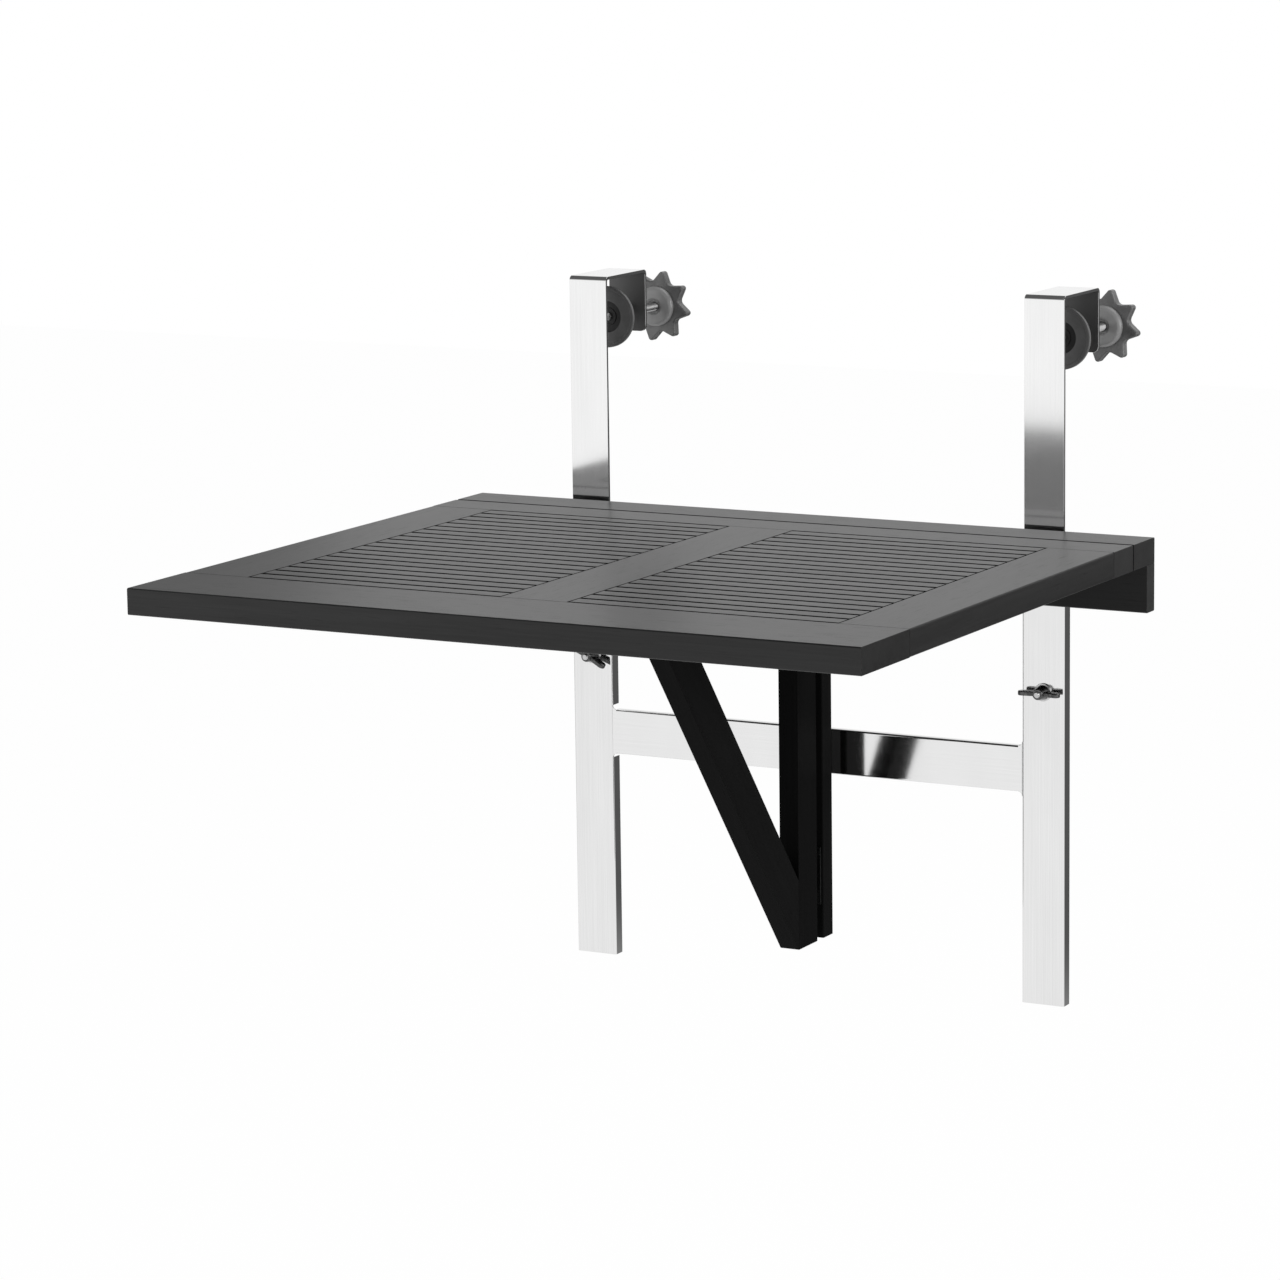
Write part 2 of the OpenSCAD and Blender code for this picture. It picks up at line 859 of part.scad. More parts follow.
// The bracket's hinges stand upright: the barrel's axis is turned to Z, the leaf runs out to +X
module gate_turn() {
    rotate([-90, -90, 0])
        children();
}

module gate_leaf(outer) {
    gate_turn()
        leaf(gate_leaf_l, gate_leaf_w + gate_axis_out, hinge_leaf_t, gate_knuckle_r, gate_gap_y, gate_pin_d,
             outer, gate_screw_spots);
}

module gate_pilot_holes() {
    gate_turn()
        for (p = gate_screw_spots)
            translate([p[0], p[1], gate_gap_y - cut])
                cylinder(r = screw_d / 2, h = gate_screw_l - hinge_leaf_t + cut);
}

module gate_screws() {
    gate_turn()
        for (p = gate_screw_spots)
            translate([p[0], p[1], gate_gap_y - hinge_leaf_t])
                screw_shape(screw_d / 2 - fit_gap, screw_head_d / 2, gate_screw_l - fit_gap, 0);
}

module at_gate_hinges() {
    for (z = gate_hinge_zs)
        translate([bracket_axis_x, bracket_axis_y, z])
            children();
}

module bracket_hinge_fixed_leaves() {
    color("darkgray")
        at_gate_hinges()
            gate_leaf(true);
}

module bracket_hinge_moving_leaves() {
    color("darkgray")
        at_gate_hinges()
            mirror([0, 1, 0])
                gate_leaf(false);
}

module bracket_hinge_pins() {
    color("silver")
        at_gate_hinges()
            gate_turn()
                headed_pin(gate_pin_d / 2, gate_pin_head_d / 2, gate_leaf_l);
}

module bracket_hinge_fixed_screws() {
    color("silver")
        at_gate_hinges()
            gate_screws();
}

module bracket_hinge_moving_screws() {
    color("silver")
        at_gate_hinges()
            mirror([0, 1, 0])
                gate_screws();
}

// Hooks

// Section of the bent flat bar in Y and Z, with true arcs at its two bends
module hook_section() {
    out_y = lip_y + strip_t;
    difference() {
        eased_rect(-strip_t, out_y, strip_foot_z, strip_t, [bend_r, 0, 0, bend_r]);
        eased_rect(0, lip_y, strip_foot_z - cut, 0, [inner_bend_r, 0, 0, inner_bend_r]);
        translate([inner_bend_r, strip_foot_z - cut])
            square([out_y, -lip_h - strip_foot_z + cut]);
    }
}

module hook(side) {
    w = strip_w / 2;
    color("whitesmoke")
        translate([side * strip_x, 0, 0])
            difference() {
                translate([-w, 0, 0])
                    rotate([90, 0, 90])
                        linear_extrude(height = strip_w)
                            hook_section();
                // Slot for the lock bolt
                for (z = [slot_top_z - slot_w / 2, slot_foot_z + slot_w / 2])
                    translate([0, 0, z])
                        rod_y(slot_w / 2, -strip_t - cut, cut);
                translate([-slot_w / 2, -strip_t - cut, slot_foot_z + slot_w / 2])
                    cube([slot_w, strip_t + 2 * cut, slot_top_z - slot_foot_z - slot_w]);
                // Threaded way for the spindle
                translate([0, 0, spindle_z])
                    rod_y(spindle_r + turn_gap, lip_y - cut, lip_y + strip_t + cut);
                // Rounded lower corners of the lip
                for (s = [-1, 1])
                    translate([s * w, lip_y + strip_t + cut, -lip_h])
                        rotate([90, 0, 0])
                            linear_extrude(height = strip_t + 2 * cut)
                                corner_waste(lip_corner_r, [-s, 1]);
            }
}

module left_hook() {
    hook(-1);
}

module right_hook() {
    hook(1);
}

module clamp_nuts() {
    color("silver")
        for (s = [-1, 1])
            translate([s * strip_x, 0, spindle_z])
                difference() {
                    translate([0, lip_y, 0])
                        rotate([90, 0, 0])
                            cylinder(d = clamp_nut_af / cos(30), h = clamp_nut_t, $fn = 6);
                    rod_y(spindle_r + turn_gap, lip_y - clamp_nut_t - cut, lip_y + cut);
                }
}

// Half section of the pressure disc, as radius and depth behind its face
module disc_section() {
    rim = disc_d / 2;
    floor_y = disc_well_d + disc_floor_t;
    bore = neck_r + turn_gap;
    difference() {
        union() {
            polygon([
                [disc_well_r, disc_dish], [rim - disc_rim_t, disc_lip_r], [rim - disc_rim_t, disc_rim_t],
                [disc_hub_r, disc_rim_t + disc_dish], [disc_hub_r, floor_y], [bore, floor_y],
                [bore, disc_well_d], [disc_well_r, disc_well_d]
            ]);
            translate([rim - disc_rim_t, 0])
                eased_rect(0, disc_rim_t, 0, disc_rim_t, [disc_lip_r, disc_lip_r, 0, 0]);
        }
    }
}

// A turned shape whose section is drawn as radius and depth, laid along +Y
module turned_y() {
    rotate([-90, 0, 0])
        rotate_extrude()
            children();
}

module pressure_disc(side) {
    color("#3a3a3a")
        translate([side * strip_x, disc_y, spindle_z])
            turned_y()
                disc_section();
}

module left_pressure_disc() {
    pressure_disc(-1);
}

module right_pressure_disc() {
    pressure_disc(1);
}

// The spindle ends in a neck and a rivet head that hold the disc
module spindle(side) {
    floor_front = disc_well_d;
    floor_back = disc_well_d + disc_floor_t;
    color("silver")
        translate([side * strip_x, disc_y, spindle_z])
            union() {
                rod_y(spindle_r, floor_front - move_gap - rivet_t, floor_front - move_gap);
                rod_y(neck_r, floor_front - move_gap, floor_back + move_gap);
                rod_y(spindle_r, floor_back + move_gap, knob_reach + knob_t);
            }
}

module left_spindle() {
    spindle(-1);
}

module right_spindle() {
    spindle(1);
}

// Outline of the star knob: rounded tips and rounded valleys joined by straight flanks
module star_outline() {
    flank_x = cos(knob_flank_turn);
    flank_y = sin(knob_flank_turn);
    // Both ends of a flank, seen from the tip at angle 0
    top_x = knob_tip_at + knob_tip_r * flank_x;
    top_y = knob_tip_r * flank_y;
    foot_x = knob_tip_at + knob_step_x - knob_valley_r * flank_x;
    foot_y = knob_step_y - knob_valley_r * flank_y;
    corners = [[foot_x, -foot_y], [top_x, -top_y], [top_x, top_y], [foot_x, foot_y]];
    turns = [for (i = [0:knob_points - 1]) i * 2 * knob_half_turn];
    union() {
        for (t = turns)
            rotate([0, 0, t])
                translate([knob_tip_at, 0])
                    circle(r = knob_tip_r);
        difference() {
            polygon([for (t = turns, c = corners)
                [c[0] * cos(t) - c[1] * sin(t), c[0] * sin(t) + c[1] * cos(t)]]);
            for (t = turns)
                rotate([0, 0, t + knob_half_turn])
                    translate([knob_valley_at, 0])
                        circle(r = knob_valley_r);
        }
    }
}

// Half section of the knob's round boss on the side that faces the hook, as radius and depth
module boss_section() {
    union() {
        polygon([
            [0, knob_t / 2], [knob_boss_r, knob_t / 2], [knob_boss_r, knob_boss_round - knob_boss_h],
            [knob_boss_r - knob_boss_round, -knob_boss_h], [knob_dish_r, -knob_boss_h],
            [knob_dish_foot_r, -knob_boss_h / 2], [0, -knob_boss_h / 2]
        ]);
        translate([knob_boss_r - knob_boss_round, knob_boss_round - knob_boss_h])
            circle(r = knob_boss_round);
    }
}

module star_knob(side) {
    color("#2b2b2b")
        translate([side * strip_x, knob_y, spindle_z])
            difference() {
                union() {
                    rotate([-90, knob_turn, 0])
                        linear_extrude(height = knob_t)
                            star_outline();
                    turned_y()
                        boss_section();
                    // Low dome on the outside
                    turned_y()
                        polygon([
                            [0, knob_t / 2], [knob_back_r, knob_t / 2], [knob_back_r, knob_t],
                            [knob_back_r - knob_back_h, knob_t + knob_back_h], [0, knob_t + knob_back_h]
                        ]);
                }
                rod_y(spindle_r + fit_gap, -knob_boss_h - cut, knob_t + fit_gap);
            }
}

module left_star_knob() {
    star_knob(-1);
}

module right_star_knob() {
    star_knob(1);
}

// Lock bolts, washers and wing nuts

washer_front_y = web_y - lock_washer_t;
nut_foot_y = washer_front_y;
nut_head_y = nut_foot_y - hub_h;

module lock_bolts() {
    color("silver")
        for (s = [-1, 1])
            translate([s * strip_x, 0, bolt_z])
                union() {
                    rod_y(bolt_r, nut_head_y - bolt_tail, move_gap);
                    rod_y(bolt_head_r, move_gap, move_gap + bolt_head_h);
                    translate([0, move_gap + bolt_head_h, 0])
                        rotate([-90, 0, 0])
                            cylinder(r1 = bolt_head_r, r2 = bolt_head_r - bolt_dome_h, h = bolt_dome_h);
                }
}

module lock_washer(side) {
    color("silver")
        translate([side * strip_x, 0, bolt_z])
            difference() {
                rod_y(lock_washer_r, washer_front_y, web_y);
                rod_y(bolt_r + turn_gap, washer_front_y - cut, web_y + cut);
            }
}

module left_lock_washer() {
    lock_washer(-1);
}

module right_lock_washer() {
    lock_washer(1);
}

// One wing of the nut in its own plane: out along x, up along y
module wing_outline() {
    tip_x = wing_span / 2 - wing_tip_r;
    union() {
        translate([tip_x, wing_tip_h])
            circle(r = wing_tip_r);
        polygon([
            [bolt_r + cut, wing_foot_h], [hub_foot_r, wing_foot_h], [tip_x, wing_tip_h - wing_tip_r],
            [tip_x, wing_tip_h + wing_tip_r], [hub_head_r, hub_h - wing_head_drop],
            [bolt_r + cut, hub_h - wing_head_drop]
        ]);
    }
}

module wing_nut(side, turn) {
    color("gray")
        translate([side * strip_x, nut_foot_y, bolt_z])
            rotate([0, turn, 0])
                difference() {
                    union() {
                        rotate([90, 0, 0])
                            cylinder(r1 = hub_foot_r, r2 = hub_head_r, h = hub_h);
                        for (s = [0, 1])
                            mirror([s, 0, 0])
                                translate([0, 0, wing_t / 2])
                                    rotate([180, 0, 0])
                                        linear_extrude(height = wing_t)
                                            wing_outline();
                    }
                    rod_y(bolt_r + turn_gap, -hub_h - cut, cut);
                }
}

module left_wing_nut() {
    wing_nut(-1, left_wing_turn);
}

module right_wing_nut() {
    wing_nut(1, 0);
}

front_rail();
back_rail();
left_stile();
right_stile();
middle_stile();
slats_left();
slats_right();
panel_dowels();
ledger_strip();
ledger_board();
ledger_dowels();
ledger_studs();
ledger_spacers();
ledger_nuts();
left_upright();
right_upright();
crossbar();
rear_post();
post_screws();
gate_post();
brace();
brace_dowels();
panel_hinge_fixed_leaves();
panel_hinge_moving_leaves();
panel_hinge_pins();
panel_hinge_fixed_screws();
panel_hinge_moving_screws();
bracket_hinge_fixed_leaves();
bracket_hinge_moving_leaves();
bracket_hinge_pins();
bracket_hinge_fixed_screws();
bracket_hinge_moving_screws();
left_hook();
right_hook();
clamp_nuts();
left_pressure_disc();
right_pressure_disc();
left_spindle();
right_spindle();
left_star_knob();
right_star_knob();
lock_bolts();
left_lock_washer();
right_lock_washer();
left_wing_nut();
right_wing_nut();
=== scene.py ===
# %% [markdown]
# # A folding balcony table
# The table hangs on a railing by two bent steel bars. The exact model from the CAD step is loaded first
# and stays where it is: every piece below takes its place and its main sizes from the boxes of that
# model, so the pictures and the mechanism agree. Blender counts in metres; the sizes here are written in
# millimetres.

import json
import math
import random

import bpy
from mathutils import Matrix, Vector


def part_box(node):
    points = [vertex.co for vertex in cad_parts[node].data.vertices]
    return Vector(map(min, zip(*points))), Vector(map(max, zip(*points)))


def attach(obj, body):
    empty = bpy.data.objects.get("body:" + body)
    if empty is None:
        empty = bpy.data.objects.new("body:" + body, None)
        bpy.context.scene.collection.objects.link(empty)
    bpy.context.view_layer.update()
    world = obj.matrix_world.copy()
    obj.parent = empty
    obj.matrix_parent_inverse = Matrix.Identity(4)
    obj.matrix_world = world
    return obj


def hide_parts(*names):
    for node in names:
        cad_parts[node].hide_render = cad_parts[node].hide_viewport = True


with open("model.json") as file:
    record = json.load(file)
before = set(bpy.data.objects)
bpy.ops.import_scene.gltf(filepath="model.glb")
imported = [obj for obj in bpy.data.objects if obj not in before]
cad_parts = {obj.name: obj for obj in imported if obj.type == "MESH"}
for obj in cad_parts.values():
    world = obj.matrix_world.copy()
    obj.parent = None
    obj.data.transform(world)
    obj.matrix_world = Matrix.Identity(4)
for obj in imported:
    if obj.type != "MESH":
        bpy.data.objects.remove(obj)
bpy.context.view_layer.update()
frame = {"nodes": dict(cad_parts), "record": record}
MM = 0.001
X, Y, Z = Vector((1, 0, 0)), Vector((0, 1, 0)), Vector((0, 0, 1))


def cad_box(node):
    """Lowest and highest corner of a CAD node, in millimetres."""
    low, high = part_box(node)
    return low / MM, high / MM


def body_with(node):
    """The name of the moving body that a CAD node belongs to."""
    for body, members in frame["record"]["behaviour"]["bodies"].items():
        if node in members:
            return body


# %% [markdown]
# ## A few ways of working
# Nearly everything on this table starts as a plain block, as it does in the workshop: a cube is added at
# its size and place, then its edges or faces are picked by where they are and shaped in edit mode. The
# helpers below keep those steps short, and each leaves the object unturned and unscaled, with its place
# in the mesh.

# %% Helpers for modelling
def deselect():
    if bpy.context.object and bpy.context.object.mode != "OBJECT":
        bpy.ops.object.mode_set(mode="OBJECT")
    bpy.ops.object.select_all(action="DESELECT")


def choose(ob):
    """Makes ob the only selected object."""
    deselect()
    bpy.context.view_layer.objects.active = ob
    ob.select_set(True)
    return ob


def named(name):
    """Gives the object just added a name and moves its place and size into its mesh."""
    ob = bpy.context.object
    ob.name = ob.data.name = name
    bpy.ops.object.transform_apply(location=True, rotation=True, scale=True)
    return ob


def block(name, low, high):
    """A cuboid between two corners."""
    deselect()
    low, high = Vector(low), Vector(high)
    bpy.ops.mesh.primitive_cube_add(size=1, location=(low + high) / 2 * MM)
    bpy.context.object.scale = (high - low) * MM
    return named(name)


def rod(name, r, start, end, sides=48):
    """A cylinder from one point to another."""
    deselect()
    start, end = Vector(start), Vector(end)
    bpy.ops.mesh.primitive_cylinder_add(
        vertices=sides, radius=r * MM, depth=(end - start).length * MM, location=(start + end) / 2 * MM,
        rotation=(end - start).to_track_quat("Z", "Y").to_euler())
    return named(name)


def pick(ob, kind, test):
    """Opens ob in edit mode with those vertices, edges or faces selected whose middle passes the test."""
    choose(ob)
    bpy.ops.object.mode_set(mode="EDIT")
    bpy.ops.mesh.select_mode(type=kind)
    bpy.ops.mesh.select_all(action="DESELECT")
    bpy.ops.object.mode_set(mode="OBJECT")
    mesh = ob.data
    items = {"VERT": mesh.vertices, "EDGE": mesh.edges, "FACE": mesh.polygons}[kind]
    for item in items:
        corners = [item.index] if kind == "VERT" else item.vertices
        spots = [mesh.vertices[i].co / MM for i in corners]
        item.select = bool(test(sum(spots, Vector()) / len(spots)))
    bpy.ops.object.mode_set(mode="EDIT")


def draw(x, y, z):
    """Extrudes what is selected in edit mode."""
    bpy.ops.mesh.extrude_region_move(TRANSFORM_OT_translate={"value": (x * MM, y * MM, z * MM)})


def near(a, b, reach=0.02):
    return abs(a - b) < reach


def done(ob, angle=32):
    """Leaves edit mode, cleans the mesh and shades it smooth up to an angle."""
    choose(ob)
    bpy.ops.object.mode_set(mode="EDIT")
    bpy.ops.mesh.select_all(action="SELECT")
    bpy.ops.mesh.remove_doubles(threshold=0.002 * MM)
    bpy.ops.mesh.normals_make_consistent(inside=False)
    bpy.ops.object.mode_set(mode="OBJECT")
    bpy.ops.object.shade_smooth_by_angle(angle=math.radians(angle))
    flat = ob.modifiers.new("flat_faces", "WEIGHTED_NORMAL")
    flat.weight, flat.keep_sharp = 100, True
    bpy.ops.object.modifier_apply(modifier=flat.name)
    return ob


def round_edges(ob, width, test, segments=4):
    """Rounds the edges whose middle passes the test."""
    pick(ob, "EDGE", test)
    bpy.ops.mesh.bevel(offset=width * MM, segments=segments, profile=0.5, affect="EDGES", clamp_overlap=True)
    bpy.ops.object.mode_set(mode="OBJECT")
    return ob


def ease(ob, width, segments=2, angle=40):
    """Takes the sharpness off every edge with a small applied bevel."""
    choose(ob)
    bevel = ob.modifiers.new("ease", "BEVEL")
    bevel.width, bevel.segments, bevel.limit_method = width * MM, segments, "ANGLE"
    bevel.angle_limit = math.radians(angle)
    bpy.ops.object.modifier_apply(modifier=bevel.name)
    return ob


def combine(ob, other, operation="DIFFERENCE"):
    """Cuts other away from ob, or unites them, and removes other."""
    choose(ob)
    step = ob.modifiers.new("combine", "BOOLEAN")
    step.operation, step.solver, step.object = operation, "EXACT", other
    bpy.ops.object.modifier_apply(modifier=step.name)
    bpy.data.objects.remove(other, do_unlink=True)
    return ob


def copied(ob, name, shift=(0, 0, 0)):
    """A copy with its own mesh, moved by shift."""
    choose(ob)
    bpy.ops.object.duplicate(linked=False)
    bpy.ops.transform.translate(value=Vector(shift) * MM)
    return named(name)


def traced(name, points, fill=True):
    """A line drawn from point to point by extruding one vertex, filled to a face if asked."""
    deselect()
    here = Vector(points[0])
    bpy.ops.mesh.primitive_plane_add(size=MM, location=here * MM)
    ob = named(name)
    bpy.ops.object.mode_set(mode="EDIT")
    bpy.ops.mesh.select_mode(type="VERT")
    bpy.ops.mesh.select_all(action="SELECT")
    bpy.ops.mesh.merge(type="CENTER")
    for point in points[1:]:
        bpy.ops.mesh.extrude_region_move(TRANSFORM_OT_translate={"value": (Vector(point) - here) * MM})
        here = Vector(point)
    if fill:
        bpy.ops.mesh.select_all(action="SELECT")
        bpy.ops.mesh.edge_face_add()
    bpy.ops.object.mode_set(mode="OBJECT")
    return ob


def turned(name, axis_x, axis_z, profile, closed=False, steps=64):
    """A shape turned on the lathe about an axis along Y. The profile is a list of (radius, place along Y)."""
    ob = traced(name, [(axis_x + r, y, axis_z) for r, y in profile], fill=False)
    bpy.ops.object.mode_set(mode="EDIT")
    bpy.ops.mesh.select_all(action="SELECT")
    if closed:
        bpy.ops.mesh.edge_face_add()
        bpy.ops.mesh.delete(type="ONLY_FACE")
        bpy.ops.mesh.select_all(action="SELECT")
    bpy.ops.mesh.spin(steps=steps, angle=math.tau, center=(axis_x * MM, 0, axis_z * MM), axis=(0, 1, 0))
    bpy.ops.object.mode_set(mode="OBJECT")
    return done(ob)


thread_depth, crest_start, crest_end, thread_steps = 0.61, 0.44, 0.56, 20


def thread(name, x, z, r, pitch, start, end):
    """A right-handed screw thread about an axis along Y, drawn once and wound by a Screw modifier."""
    root = r - pitch * thread_depth
    line = [(root, 0, 0), (r, pitch * crest_start, 0), (r, pitch * crest_end, 0), (root, pitch, 0)]
    ob = traced(name, line, fill=False)
    wind = ob.modifiers.new("wind", "SCREW")
    wind.axis, wind.angle, wind.screw_offset = "Y", math.tau, pitch * MM
    wind.steps = wind.render_steps = thread_steps
    wind.iterations = int((end - start) / pitch) - 1
    wind.use_merge_vertices = True
    bpy.ops.object.modifier_apply(modifier=wind.name)
    bpy.ops.transform.translate(value=Vector((x, start, z)) * MM)
    bpy.ops.object.transform_apply(location=True, rotation=True, scale=True)
    return done(ob, 50)


def joined(ob, *others):
    """Joins loose shells into one piece."""
    choose(ob)
    for other in others:
        other.select_set(True)
    bpy.ops.object.join()
    return ob


def turned_about(ob, angle, axis, centre):
    """Turns a whole mesh by some degrees about an axis through a point."""
    choose(ob)
    bpy.ops.object.mode_set(mode="EDIT")
    bpy.ops.mesh.select_all(action="SELECT")
    bpy.ops.transform.rotate(value=math.radians(angle), orient_axis=axis, center_override=Vector(centre) * MM)
    bpy.ops.object.mode_set(mode="OBJECT")
    return ob


def mark(ob, test):
    """Notes in a face attribute which faces get painted shade, by a test of their middle and normal."""
    values = [float(test(face.center / MM, face.normal)) for face in ob.data.polygons]
    ob.data.attributes.new("hollow", "FLOAT", "FACE").data.foreach_set("value", values)
    return ob


finishes = {}


def place(ob, node, slot, finish=None):
    """ob shows this CAD node and moves with its body. Its material is the slot's, or the one named finish."""
    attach(ob, body_with(node))
    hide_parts(node)
    finishes.setdefault(finish or slot, []).append(ob)
    return ob


print("helpers ready")

# %% [markdown]
# ## The table top
# The top is a frame of planed boards: a wide rail in front, a narrow one behind, and three stiles between
# them. Each board is its own block. The long outer edges are rounded as a router would do, and every
# other edge is only eased a little. The stiles stop a hair short of the rails, which leaves the fine dark
# line of a joint. Grooves in the stiles take the slats' tongues. The ledger is the fixed pair of boards
# behind the seam; the front of its lower board is always in the top's shade and is marked for a darker
# tone.

# %% Boards of the top
edge_r, fine_edge, joint = 1.5, 0.35, 0.4
groove_deep, groove_foot, groove_top = 8.0, -223.1, -216.9
LOW_X, HIGH_X, LOW_Y, HIGH_Y = range(4)
FOOT, TOP = range(2)
boards = []


def wooden(ob, node, finish="stained_wood"):
    """A wooden piece, put in its place and on the list of pieces that get a grain."""
    boards.append((ob, node))
    return place(ob, node, "stained_wood", finish)


def outer(node, sides, levels=(FOOT, TOP)):
    """A test for the level edges on the named sides of a node's box, at its foot or top."""
    low, high = cad_box(node)

    def test(p):
        hits = [near(p.x, low.x), near(p.x, high.x), near(p.y, low.y), near(p.y, high.y)]
        flat = [near(p.z, low.z), near(p.z, high.z)]
        return any(flat[i] for i in levels) and any(hits[i] for i in sides)
    return test


def board(node, rounded, grooves=(), short=0.0):
    """A board with the picked edges rounded, grooves in the named sides and both ends a little short."""
    low, high = cad_box(node)
    low.y, high.y = low.y + short, high.y - short
    ob = block(node + "_board", low, high)
    round_edges(ob, edge_r, rounded)
    for side in grooves:
        x0, x1 = (low.x - 1, low.x + groove_deep) if side == LOW_X else (high.x - groove_deep, high.x + 1)
        combine(ob, block("groove", (x0, low.y - 1, groove_foot), (x1, high.y + 1, groove_top)))
    return wooden(done(ease(ob, fine_edge)), node)


board("front_rail", outer("front_rail", [LOW_Y]))
board("back_rail", outer("back_rail", [HIGH_Y], [TOP]))
board("left_stile", outer("left_stile", [LOW_X]), [HIGH_X], joint)
board("right_stile", outer("right_stile", [HIGH_X]), [LOW_X], joint)
board("middle_stile", outer("middle_stile", []), [LOW_X, HIGH_X], joint)
board("ledger_strip", outer("ledger_strip", [LOW_Y, HIGH_Y], [TOP]))
ledger_board = board("ledger_board", outer("ledger_board", [LOW_Y, HIGH_Y], [FOOT]))
mark(ledger_board, lambda p, n: n.y < -0.9)
print("boards", len(boards))

# %% [markdown]
# ## The slats
# Forty thin slats fill the two fields. One is shaped: the end faces are cut across by two bisecting
# planes, the band between them is drawn out to a tongue, and the upper edges are rounded. The rest are
# copies of it, moved one pitch at a time, each with a mesh of its own so that the grain can differ from
# slat to slat.

# %% Slats
slat_count, slat_pitch, slat_w, slat_t = 20, 21.4, 19.0, 14.0
tongue, tongue_half, slat_edge, slat_ease = 8.0, 3.0, 1.5, 0.25


def first_slat(node):
    """The slat nearest the front of a field, with a tongue at each end."""
    low, high = cad_box(node)
    x0, x1 = low.x + tongue, high.x - tongue
    ob = block(node + "_00", (x0, low.y, high.z - slat_t), (x1, low.y + slat_w, high.z))
    middle = high.z - slat_t / 2
    pick(ob, "FACE", lambda p: True)
    for z in (middle - tongue_half, middle + tongue_half):
        bpy.ops.mesh.select_all(action="SELECT")
        bpy.ops.mesh.bisect(plane_co=(0, 0, z * MM), plane_no=(0, 0, 1))
    for end, way in ((x0, -1), (x1, 1)):
        pick(ob, "FACE", lambda p: near(p.x, end) and near(p.z, middle))
        draw(way * tongue, 0, 0)
    round_edges(ob, slat_edge, lambda p: near(p.z, high.z), 3)
    return done(ease(ob, slat_ease, 1))


for node in ("slats_left", "slats_right"):
    slat = wooden(first_slat(node), node, "slat_wood")
    for i in range(1, slat_count):
        wooden(copied(slat, f"{node}_{i:02d}", (0, i * slat_pitch, 0)), node, "slat_wood")
print("slats", 2 * slat_count)

# %% [markdown]
# ## The bracket
# Under the top a wooden gate swings out and holds the panel up: an upright post with a slanted brace,
# hung by two hinges on a fixed rear post. The brace is drawn from the side as a slanted outline, whose
# ends lie flat against the panel and the post, and extruded to its thickness. The rear post has a lap cut
# out of its head, where it passes behind the ledger.

# %% Posts and brace
brace_foot_h, brace_head_w = 67.6, 53.5


def upright_edges(low, high, y, below=0.0):
    """A test for the two upright edges of a post at one Y, below a height."""
    return lambda p: near(p.y, y) and p.z < below and not near(p.x, (low.x + high.x) / 2)


low, high = cad_box("gate_post")
gate = round_edges(block("gate_post_wood", low, high), edge_r, upright_edges(low, high, high.y))
wooden(done(ease(gate, fine_edge)), "gate_post", "matt_wood")

brace_low, brace_high = cad_box("brace")
brace = traced("brace_wood", [
    (brace_low.x, brace_high.y, brace_low.z), (brace_low.x, brace_high.y, brace_low.z + brace_foot_h),
    (brace_low.x, brace_low.y + brace_head_w, brace_high.z), (brace_low.x, brace_low.y, brace_high.z)])
pick(brace, "FACE", lambda p: True)
draw(brace_high.x - brace_low.x, 0, 0)
done(brace)
wooden(done(ease(brace, fine_edge)), "brace", "matt_wood")

low, high = cad_box("rear_post")
lap_z, lap_y = cad_box("ledger_board")[0].z, cad_box("ledger_board")[1].y
rear = block("rear_post_wood", low, high)
combine(rear, block("lap", (low.x - 1, low.y - 1, lap_z), (high.x + 1, lap_y, high.z + 1)))
round_edges(rear, edge_r, upright_edges(low, high, low.y, lap_z - 5))
wooden(done(ease(rear, fine_edge)), "rear_post", "matt_wood")
print("brace from", tuple(round(v, 1) for v in brace_low), "to", tuple(round(v, 1) for v in brace_high))

# %% [markdown]
# ## The folded steel frame
# Two uprights and a crossbar are folded from thin sheet, with the flanges turned to the back. A fold has
# a round outside and a smaller round inside, one sheet thickness apart. So the outer block has its front
# edges rounded, a smaller block with smaller rounds is taken out of it, and a channel of even thickness
# is left.

# %% Uprights and crossbar
sheet_t, fold_r, relief, bolt_hole_r, sheet_ease = 1.2, 2.0, 4.0, 3.2, 0.15
bar_low, bar_high = cad_box("crossbar")
bolt_low, bolt_high = cad_box("left_lock_washer")
bolt_z = (bolt_low.z + bolt_high.z) / 2


def channel(name, low, high, along):
    """A channel open to the back. along is the number of the axis that it runs along."""
    across = 0 if along == 2 else 2
    low, high = Vector(low), Vector(high)
    middle = (low[across] + high[across]) / 2
    ob = block(name, low, high)
    round_edges(ob, fold_r, lambda p: near(p.y, low.y) and not near(p[across], middle), 6)
    in_low, in_high = Vector(low), Vector(high)
    in_low.y, in_high.y = low.y + sheet_t, high.y + 1
    in_low[across], in_high[across] = low[across] + sheet_t, high[across] - sheet_t
    in_low[along], in_high[along] = low[along] - 1, high[along] + 1
    core = block("core", in_low, in_high)
    round_edges(core, fold_r - sheet_t, lambda p: near(p.y, in_low.y) and not near(p[across], middle), 6)
    return combine(ob, core)


def upright(node, inner_side):
    """A channel with a gap in its inner flange for the crossbar and a hole for the lock bolt."""
    low, high = cad_box(node)
    ob = channel(node + "_sheet", low, high, along=2)
    x0, x1 = (low.x - 1, low.x + fold_r) if inner_side == LOW_X else (high.x - fold_r, high.x + 1)
    combine(ob, block("gap", (x0, low.y + sheet_t, bar_low.z), (x1, high.y + 1, bar_high.z)))
    middle = (low.x + high.x) / 2
    combine(ob, rod("hole", bolt_hole_r, (middle, low.y - 1, bolt_z), (middle, low.y + 3, bolt_z)))
    return place(done(ease(ob, sheet_ease, 1, 50)), node, "polished_steel")


